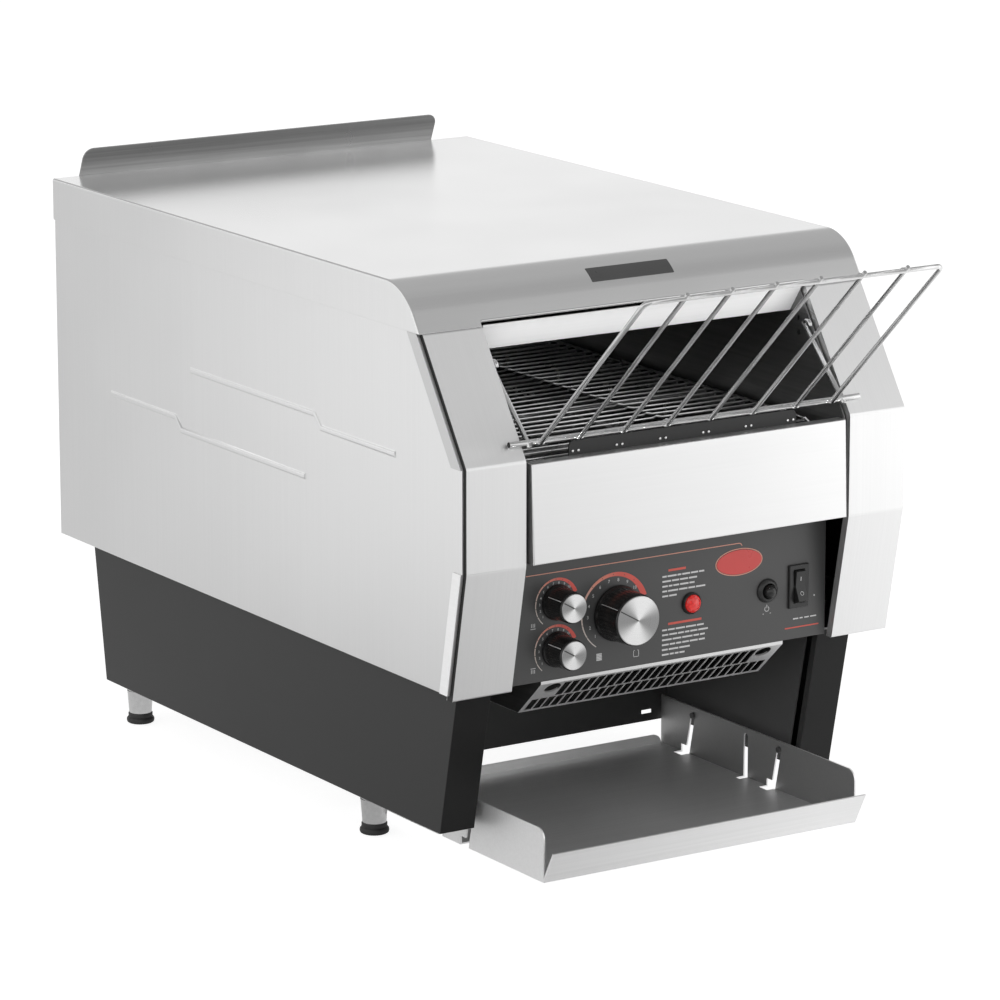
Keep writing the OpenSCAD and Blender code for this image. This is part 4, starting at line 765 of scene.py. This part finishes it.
smallDial = {"ring": 17.7, "start": 228, "end": 24, "widths": (0.55, 3.0, 2.0), "numbers": 14.1, "size": 2.5}
dials = {"upper": {"x": -92.8, "z": 189.2, **smallDial}, "lower": {"x": -93.4, "z": 156.5, **smallDial},
         "main": {"x": -45.5, "z": 176.6, "ring": 27.8, "start": 236, "end": 20, "widths": (0.7, 4.6, 1.6),
                  "numbers": 22.2, "size": 3.3}}
scale = {"steps": 10, "before": 12, "spare": 34, "dot": 0.34, "dotHigh": 0.12}
arcs, whiteMarks, redMarks, peachMarks, darkMarks = [], [], [], [], []
for name, dial in dials.items():
    arcs.append(ringStrip(name + "Arc", dial["x"], dial["z"], dial["ring"], dial["widths"],
                          (dial["start"], dial["end"])))
    span, gaps = dial["start"] - dial["end"] - scale["spare"], scale["steps"] - 1
    thin, wide, power = dial["widths"]
    for step in range(scale["steps"]):
        angle = math.radians(dial["start"] - scale["before"] - span * step / gaps)
        whiteMarks.append(numeral(str(step + 1), dial["x"] + dial["numbers"] * math.cos(angle),
                                  dial["z"] + dial["numbers"] * math.sin(angle), dial["size"]))
        if step < gaps:
            angle -= math.radians(span / (2 * gaps))
            reach = dial["ring"] - 0.5 * (thin + (wide - thin) * (step / gaps) ** power)
            darkMarks.append(dot(dial["x"] + reach * math.cos(angle), dial["z"] + reach * math.sin(angle),
                                 scale["dot"], scale["dotHigh"]))

signs = {"line": (-118, 58, 210.7, 211.3), "lineHook": (58, 208, 3.3, (0.6, 0.6, 1), (90, 20)),
         "dark": [(-60.4, -56.0, 143.7 + 1.05 * k, 144.5 + 1.05 * k) for k in range(5)],  # close bars: dark toast
         "light": [(-29.9, -29.55, 142.0, 146.8), (-25.6, -25.25, 142.0, 146.8), (-29.9, -25.25, 142.0, 142.35),
                   (-29.9, -28.6, 146.45, 146.8), (-26.6, -25.25, 146.45, 146.8)],
         "button": (82.7, 160.6, 2.0, (0.4, 0.4, 1), (60, -240), 32), "switchDot": (123.5, 164.9, 0.6),
         "buttonBars": [(82.5, 82.9, 161.2, 163.6), (79.2, 80.2, 157.0, 157.4), (85.2, 86.2, 157.0, 157.4)]}
heat = {"x": -112.2, "apart": 1.3, "half": 0.2, "low": 1.2, "high": 1.4, "drop": 2.3, "shelf": (-114.2, -110.2),
        "rows": ((175.8, 1), (143.5, -1))}  # small heat signs beside the dials: height, and where the shelf lies
peachMarks += [bar(*signs["line"]), ringStrip("lineHook", *signs["lineHook"])]
whiteMarks += [bar(*edges) for edges in signs["dark"] + signs["light"]]
for z, lift in heat["rows"]:
    for k in (-1, 0, 1):
        x = heat["x"] + heat["apart"] * k
        whiteMarks.append(bar(x - heat["half"], x + heat["half"], z - heat["low"], z + heat["high"]))
    shelf = z - heat["drop"] * lift
    whiteMarks.append(bar(*heat["shelf"], shelf - heat["half"], shelf + heat["half"]))
whiteMarks.append(ringStrip("buttonSign", *signs["button"]))
whiteMarks += [bar(*edges) for edges in signs["buttonBars"]] + [dot(*signs["switchDot"])]

legend = {"left": -6, "height": 1.2, "pitch": 3.5, "words": (3.0, 9.0), "gap": 0.8, "indent": 5, "headHigh": 1.6,
          "first": 1.1, "least": 2,
          "blocks": ((198.8, 14.5, (35, 29, 27, 36, 12)), (160.7, 28, (35, 40, 37, 36, 24, 19))),
          "foot": ((105.5, 4.5), (111.2, 2.6), (115.3, 3.8), (120.3, 5.2)), "footAt": (149.6, 150.5),
          "footLine": (98.5, 127.5, 143.4, 144.3)}
for top, heading, rows in legend["blocks"]:  # plain rules where a legend stands
    left = legend["left"] + legend["indent"]
    redMarks.append(bar(left, left + heading, top, top + legend["headHigh"]))
    for row, length in enumerate(rows):
        x, z = legend["left"], top - (row + legend["first"]) * legend["pitch"]
        while x < legend["left"] + length - legend["least"]:
            word = min(rng.uniform(*legend["words"]), legend["left"] + length - x)
            whiteMarks.append(bar(x, x + word, z, z + legend["height"]))
            x += word + legend["gap"]
whiteMarks += [bar(x, x + word, *legend["footAt"]) for x, word in legend["foot"]]
redMarks.append(bar(*legend["footLine"]))

badge = {"x": 58.5, "z": 197.6, "wide": 20, "high": 9.7, "sides": 72, "round": (0.985, 0.12),
         "layers": (("badgeRim", 0, 0.12, "red_lens", inkPeach), ("badgeGap", 0.55, 0.17, "black_paint", panelPaint),
                    ("badgeFace", 1.0, 0.45, "red_lens", badgeRed))}  # inset, and how far it stands out
for name, inset, up, slotName, material in badge["layers"]:
    shrink, drop = badge["round"]
    layer = turned(name, [(1, -ink["sunk"]), (1, up - drop), (shrink, up)], sides=badge["sides"])
    layer.scale = (badge["wide"] - inset, 1, badge["high"] - inset)
    settle(layer).location = at(badge["x"], panelFront, badge["z"])
    dress(smoothed(settle(layer)), "housing", material)
dress(joined("dialScales", arcs), "housing", dialInk)
for name, parts, material, slotName in (("whiteMarks", whiteMarks, inkWhite, "grey_plastic"),
                                        ("redMarks", redMarks, inkRed, "red_lens"),
                                        ("peachMarks", peachMarks, inkPeach, "red_lens"),
                                        ("darkMarks", darkMarks, panelPaint, "black_paint")):
    dress(joined(name, parts), "housing", material)
print("panel marks ready")

knobs = {"knob_upper": {"x": -93, "z": 190, "r": 11, "h": 22}, "knob_lower": {"x": -93, "z": 157, "r": 11, "h": 22},
         "knob_main": {"x": -43.2, "z": 175.3, "r": 18.2, "h": 26}}
knobLook = {"flutes": 40, "groove": 0.12, "deep": 0.22, "line": 0.38, "ray": 0.22, "soft": 0.03, "grip": (4.6, 3.2),
            "skirt": ((1.2, 0.6), (1.6, 0.9), (1.5, 2.2), (0.9, 3.2), (0.45, 3.8), (0.4, 4.6)),
            "crown": ((-0.1, -3.2), (-0.3, -1.7), (-0.9, -1.0), (-1.4, -1.05))}  # from the radius and the height


def spunDisc(name, radius, low, high, place):
    profile = [(radius * 0.97, low), (radius, low + 0.1), (radius, high - 0.35), (radius * 0.975, high),
               (radius * 0.7, high + 0.01), (radius * 0.4, high), (radius * 0.1, high)]
    piece = turned(name, profile, facing="up", sides=96)
    editing(piece)
    pick(piece, "FACE", lambda f: len(f.verts) > 8 and f.normal.z > 0.5)
    bpy.ops.mesh.poke()
    done()
    turning = piece.data.uv_layers.new(name="turning")
    for face in piece.data.polygons:
        middleAngle = math.atan2(face.center.y, face.center.x)
        for loop in face.loop_indices:
            co = piece.data.vertices[piece.data.loops[loop].vertex_index].co
            away = math.hypot(co.x, co.y)
            angle = math.atan2(co.y, co.x) if away > 1e-6 else middleAngle
            angle += round((middleAngle - angle) / (2 * math.pi)) * 2 * math.pi
            turning.data[loop].uv = (angle / (2 * math.pi), away / (radius * mm))
    return stood(piece, place)


def inGroove(face, height):  # one side in four of the grip
    centre, (low, high) = face.calc_center_median(), knobLook["grip"]
    side = int(math.atan2(centre.y, centre.x) % (2 * math.pi) / (2 * math.pi / (knobLook["flutes"] * 4)))
    return (low * mm < centre.z < (height - high) * mm and abs(face.normal.z) < 0.5
            and len(face.verts) == 4 and side % 4 == 0)


spin = Matrix.Rotation(math.pi / 2 - math.radians(spun["pointer"]), 4, "Y")
for body, knob in knobs.items():
    r, h, place = knob["r"], knob["h"], at(knob["x"], panelFront, knob["z"])
    profile = [(r + out, up) for out, up in knobLook["skirt"]] + [(r + out, h + up) for out, up in knobLook["crown"]]
    shell = turned(body + "Shell", profile, facing="up", sides=knobLook["flutes"] * 4)
    editing(shell)
    pick(shell, "FACE", lambda f: inGroove(f, h))
    bpy.ops.mesh.inset(thickness=knobLook["groove"] * mm, depth=-knobLook["deep"] * mm, use_individual=True)
    done()
    dress(smoothed(stood(shell, place), 38), body, knobPlastic, [body])
    disc = smoothed(spunDisc(body + "Disc", r - 1.0, h - 1.4, h, place), 30)
    dress(disc, body, spunAluminiumPaintedSheen, [body + "_face"])
    line, ray = knobLook["line"], knobLook["ray"]  # on the disc, and down the side
    for name, low, high, slotName, material in (
            ("Line", (-line, -(h + 0.05), 0), (line, -(h - 0.3), r - 1.3), "knob_plastic", blackPlastic),
            ("Ray", (-ray, -(h - 2.6), r - 0.6), (ray, -4.4, r + 0.42), "face_aluminium", inkWhite)):
        pointer = block(body + name, Vector(low) * mm, Vector(high) * mm, knobLook["soft"], 1)
        pointer.matrix_world = Matrix.Translation(place) @ spin
        dress(settle(pointer), body, material)
print("knobs ready")

rowZ = 173.8  # the lamp and the button
lamp = {"x": 18.2, "r": 7.8, "bezel": ((0, -0.05), (0, 1.0), (-0.5, 2.1), (-1.1, 2.5), (-1.45, 2.2), (-1.5, 1.0)),
        "lens": ((-1.55, 0.6), (-1.55, 2.9), (-1.9, 3.5), (-3.3, 4.3), (-3.5, 4.0), (-4.6, 4.25), (-6.4, 4.6),
                 (-7.5, 4.7))}  # from the radius, and out of the panel
for name, part, sides, angle, slotName, material in (("lampBezel", "bezel", 64, 40, "black_plastic", blackPlastic),
                                                     ("lampLens", "lens", 48, 30, "red_lens", redLens)):
    profile = [(lamp["r"] + out, up) for out, up in lamp[part]]
    piece = turned(name, profile, at(lamp["x"], panelFront, rowZ), sides=sides)
    dress(smoothed(piece, angle), "housing", material, [f"indicator_{part}"])

button = {"x": 82.7, "r": 4.7, "low": 0.9, "round": 4.4, "out": 8.3, "steps": (15, 30, 45, 60, 75, 86), "sides": 48,
          "collar": [(6.0, -2.6), (6.0, -0.05), (8.6, -0.05), (8.6, 0.7), (8.2, 1.5), (7.3, 2.3), (6.5, 2.9),
                     (5.8, 3.0), (5.3, 2.6), (5.2, -2.3)]}
place = at(button["x"], panelFront, rowZ)
ring = smoothed(turned("buttonRing", button["collar"], place))
dress(ring, "housing", blackPlastic, ["button_bezel"])
dome = [(button["r"], button["low"]), (button["r"], button["round"])]
for step in map(math.radians, button["steps"]):
    dome.append((button["r"] * math.cos(step), button["round"] + (button["out"] - button["round"]) * math.sin(step)))
cap = smoothed(turned("buttonCap", dome, place, sides=button["sides"]))
dress(cap, "button", knobPlastic, ["push_button"])

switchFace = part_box("switch_bezel")[0].y
switchFrame = softNode("switch_bezel", "switchFrame", {"width": 0.7, "segments": 3, "angle": 60},
                       lambda e: nearly(middle(e).y, switchFace, flush))
dress(switchFrame, "housing", blackPlastic, ["switch_bezel"])
rockerShape = {"edge": {"width": 0.5, "segments": 3, "angle": 50}, "ring": 1.3, "wire": 0.2, "steps": 20,
               "bar": ((-0.25, -0.15, -1.5), (0.25, 0.1, 1.5))}
rocker = copyNode("rocker_switch", "rockerCap")
rockerFaces = sorted((f for f in rocker.data.polygons if f.normal.y < -0.7), key=lambda f: f.area)[-2:]
rockerFaces = [(f.center.copy(), math.atan2(-f.normal.z, -f.normal.y))
               for f in sorted(rockerFaces, key=lambda f: f.center.z)]
around = [i * math.tau / rockerShape["steps"] for i in range(rockerShape["steps"])]
offMark = wirePath("offMark", [Vector((math.cos(a), 0, math.sin(a))) * rockerShape["ring"] * mm for a in around],
                   rockerShape["wire"], 6, True)
onMark = block("onMark", *(Vector(corner) * mm for corner in rockerShape["bar"]))
marks = [copied(drawn, spot, Matrix.Rotation(lean, 4, "X"))
         for drawn, (spot, lean) in zip((offMark, onMark), rockerFaces)]
for drawn in (offMark, onMark):
    bpy.data.objects.remove(drawn)
dress(joined("rockerMarks", marks), "rocker", inkWhite)
soften(rocker, rockerShape["edge"])
dress(smoothed(rocker, 30), "rocker", blackPlastic, ["rocker_switch"])
print("controls ready")

screwShape = {"head": [(3.2, -0.05), (3.2, 0.35), (2.9, 0.75), (2.3, 1.0), (1.4, 1.14), (0.5, 1.19)], "high": 1.2,
              "sides": 32, "slot": (2.0, 0.32), "slotDeep": (0.75, 1.4),
              "spots": [(x, z) for x in (-170.8, 170.8) for z in (152, 274.5, 397)]
              + [(x, 152) for x in (-60, 0, 60)]}
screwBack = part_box("screws")[1].y - screwShape["high"] * mm
first = turned("screwFirst", screwShape["head"], facing="rear", sides=screwShape["sides"])
(long, thin), (low, high) = screwShape["slot"], screwShape["slotDeep"]
for wide, tall in ((long, thin), (thin, long)):  # the cross in the head
    cutter = block("slot", Vector((-wide, low, -tall)) * mm, Vector((wide, high, tall)) * mm)
    applied(first, "BOOLEAN", operation="DIFFERENCE", object=cutter, solver="EXACT")
    bpy.data.objects.remove(cutter)
heads = [copied(first, (x * mm, screwBack, z * mm), Matrix.Rotation(rng.uniform(0, 1.5), 4, "Y"))
         for x, z in screwShape["spots"]]
bpy.data.objects.remove(first)
dress(smoothed(joined("screwHeads", heads), 30), "housing", shaftSteel, ["screws"])

inletLow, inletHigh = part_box("power_inlet")
inletShape = {"edge": {"width": 0.5, "segments": 2, "angle": 60}, "deep": 1.2, "pin": (2, 13, 4), "pinDeep": 18,
              "pinEdge": 0.35, "pinAt": ((-7, -2.5), (0, 4), (7, -2.5))}
inlet = softNode("power_inlet", "powerInlet", inletShape["edge"],
                 lambda e: middle(e).y > inletHigh.y - inletShape["deep"] * mm)
dress(inlet, "housing", blackPlastic, ["power_inlet"])
pinSize = Vector(inletShape["pin"])
pins = []
for dx, dz in inletShape["pinAt"]:
    low = Vector(((inletLow.x + inletHigh.x) / 2 + (dx - pinSize.x / 2) * mm,
                  inletHigh.y - inletShape["pinDeep"] * mm,
                  (inletLow.z + inletHigh.z) / 2 + (dz - pinSize.z / 2) * mm))
    pins.append(block("pin", low, low + pinSize * mm, inletShape["pinEdge"]))
dress(smoothed(joined("inletPins", pins)), "housing", shaftSteel)

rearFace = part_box("rear_panel")[1].y
rearPanel = softNode("rear_panel", "rearPanel", {"width": 0.3, "segments": 2, "angle": 60},
                     lambda e: middle(e).y > rearFace - slack * mm)
dress(rearPanel, "housing", sideSteel, ["rear_panel"])
print("rear ready")

finishes = ((innerSteel, "inner_plate_left inner_plate_right rear_guide tunnel_roof"),
            (plainSteel, "chassis_pan motor_bracket control_box"), (traySteel, "discharge_chute"),
            (heaterSteel, "upper_heaters lower_heaters"), (ceramic, "heater_bushes"),
            (shaftSteel, "front_shaft drive_shaft"), (bronze, "shaft_bearings"),
            (gearSteel, "front_sprockets drive_sprockets belt_rails motor_sprocket chain_sprocket drive_chain"),
            (motorPaint, "gear_motor"), (blackPlastic, "fan_frame fan_rotor"), (greyPlastic, "regulators"),
            (linerPaint, "base_liners"))
for material, names in finishes:
    for name in names.split():
        for held in nodes[name].material_slots:
            held.material = material
print("frame finishes set")

floorShape = {"size": 40, "down": 0.0005, "seen": 0.88, "glow": (0.235, 1.0), "glowFrom": (-0.313, 0.367),
              "glowWay": (1.1, 0.38, 0), "shader": {"Base Color": grey(0.35), "Roughness": 0.9,
                                                    "Specular IOR Level": 0.1, "Emission Strength": 1}}
bpy.ops.mesh.primitive_plane_add(size=floorShape["size"], location=(0, 0, -floorShape["down"]))
floor = bpy.context.object
floor.name = "floor"
floorFinish, tree, shader = newFinish("floorWhite", floorShape["shader"])
# painted pool of light: the floor glows evenly white to the camera, and in reflections its glow grows towards +x
towards = added(tree, "ShaderNodeVectorMath", {1: floorShape["glowWay"]}, operation="DOT_PRODUCT")
wire(tree, added(tree, "ShaderNodeTexCoord").outputs["Object"], towards.inputs[0])
pool = ranged(tree, towards.outputs["Value"], *floorShape["glow"], floorShape["glowFrom"])
seen = blended(tree, added(tree, "ShaderNodeLightPath").outputs["Is Camera Ray"], pool, grey(floorShape["seen"]))
wire(tree, seen, shader.inputs["Emission Color"])
floor.data.materials.append(floorFinish)

sky = {"turn": (-0.2, 0.2), "rear": ((0, 0.6), (0.5, 1.05), (0.63, 1.05), (0.68, 0.5), (1.0, 0.47)),
       "front": ((0, 0.6), (0.5, 1.05), (0.78, 1.1), (0.815, 0.5), (0.86, 0.41), (1.0, 0.43))}  # height, and grey
world = bpy.data.worlds.new("studioLight")
bpy.context.scene.world = world
world.use_nodes = True
tree = world.node_tree
split = added(tree, "ShaderNodeSeparateXYZ")
wire(tree, added(tree, "ShaderNodeTexCoord").outputs["Generated"], split.inputs[0])
height = ranged(tree, split.outputs["Z"], 0, 1, (-1, 1))
turnAbout = ranged(tree, split.outputs["Y"], 0, 1, sky["turn"], True)
overhead = blended(tree, turnAbout, *(rampColour(tree, height, sky[part]) for part in ("front", "rear")))
seen = blended(tree, added(tree, "ShaderNodeLightPath").outputs["Is Camera Ray"], overhead, grey(1))
wire(tree, seen, tree.nodes["Background"].inputs["Color"])


def softbox(name, place, aim, wide, tall, energy):
    bpy.ops.object.light_add(type="AREA", location=place)
    light = bpy.context.object
    light.name = name
    light.data.shape = "RECTANGLE"
    light.data.size, light.data.size_y = wide, tall
    light.data.energy = energy
    light.rotation_euler = aim.to_track_quat("-Z", "Y").to_euler()
    light.visible_camera = False
    return light


cards = {"leftCard": {"low": (-0.6, -0.5, 0.0), "high": (-0.6, 0.72, 0.45), "aim": (1, 0, 0), "radiance": 0.55},
         "frontCard": {"low": (0.55, -0.8, 0.0), "high": (1.3, -0.8, 0.95), "aim": (0, 1, 0), "radiance": 0.55}}
for name, card in cards.items():
    low, high = Vector(card["low"]), Vector(card["high"])
    wide, tall = max(high.x - low.x, high.y - low.y), high.z - low.z
    softbox(name, (low + high) / 2, Vector(card["aim"]), wide, tall, card["radiance"] * math.pi * wide * tall)
slotCard = {"at": (0, -0.285, 0.09), "aim": (0, 0.062, 0.3705), "wide": 0.26, "tall": 0.012, "energy": 0.012,
            "spread": 8}  # low narrow light on the strip over the opening; lengths from the trims' face
fromFront = Vector((0, frontY, 0))
slotLight = softbox("slotLight", Vector(slotCard["at"]) + fromFront, Vector(slotCard["aim"]) - Vector(slotCard["at"]),
                    slotCard["wide"], slotCard["tall"], slotCard["energy"])
slotLight.data.spread = math.radians(slotCard["spread"])
slotLight.data.use_shadow = False

view = {"place": (-1.93929, frontY - 2.775247, 1.05231), "lens": 183.54, "sensor": 36, "clip": (0.05, 60),
        "axes": ((0.84114, 0.12417, -0.52638), (-0.54082, 0.19312, -0.81867), (0.0, 0.97329, 0.22960))}
bpy.ops.object.camera_add()
camera = bpy.context.object
camera.data.lens, camera.data.sensor_width = view["lens"], view["sensor"]
camera.data.clip_start, camera.data.clip_end = view["clip"]
camera.matrix_world = Matrix.Translation(view["place"]) @ Matrix(view["axes"]).to_4x4()
bpy.context.scene.camera = camera
bpy.context.scene.view_settings.view_transform = "Standard"
print("studio ready")
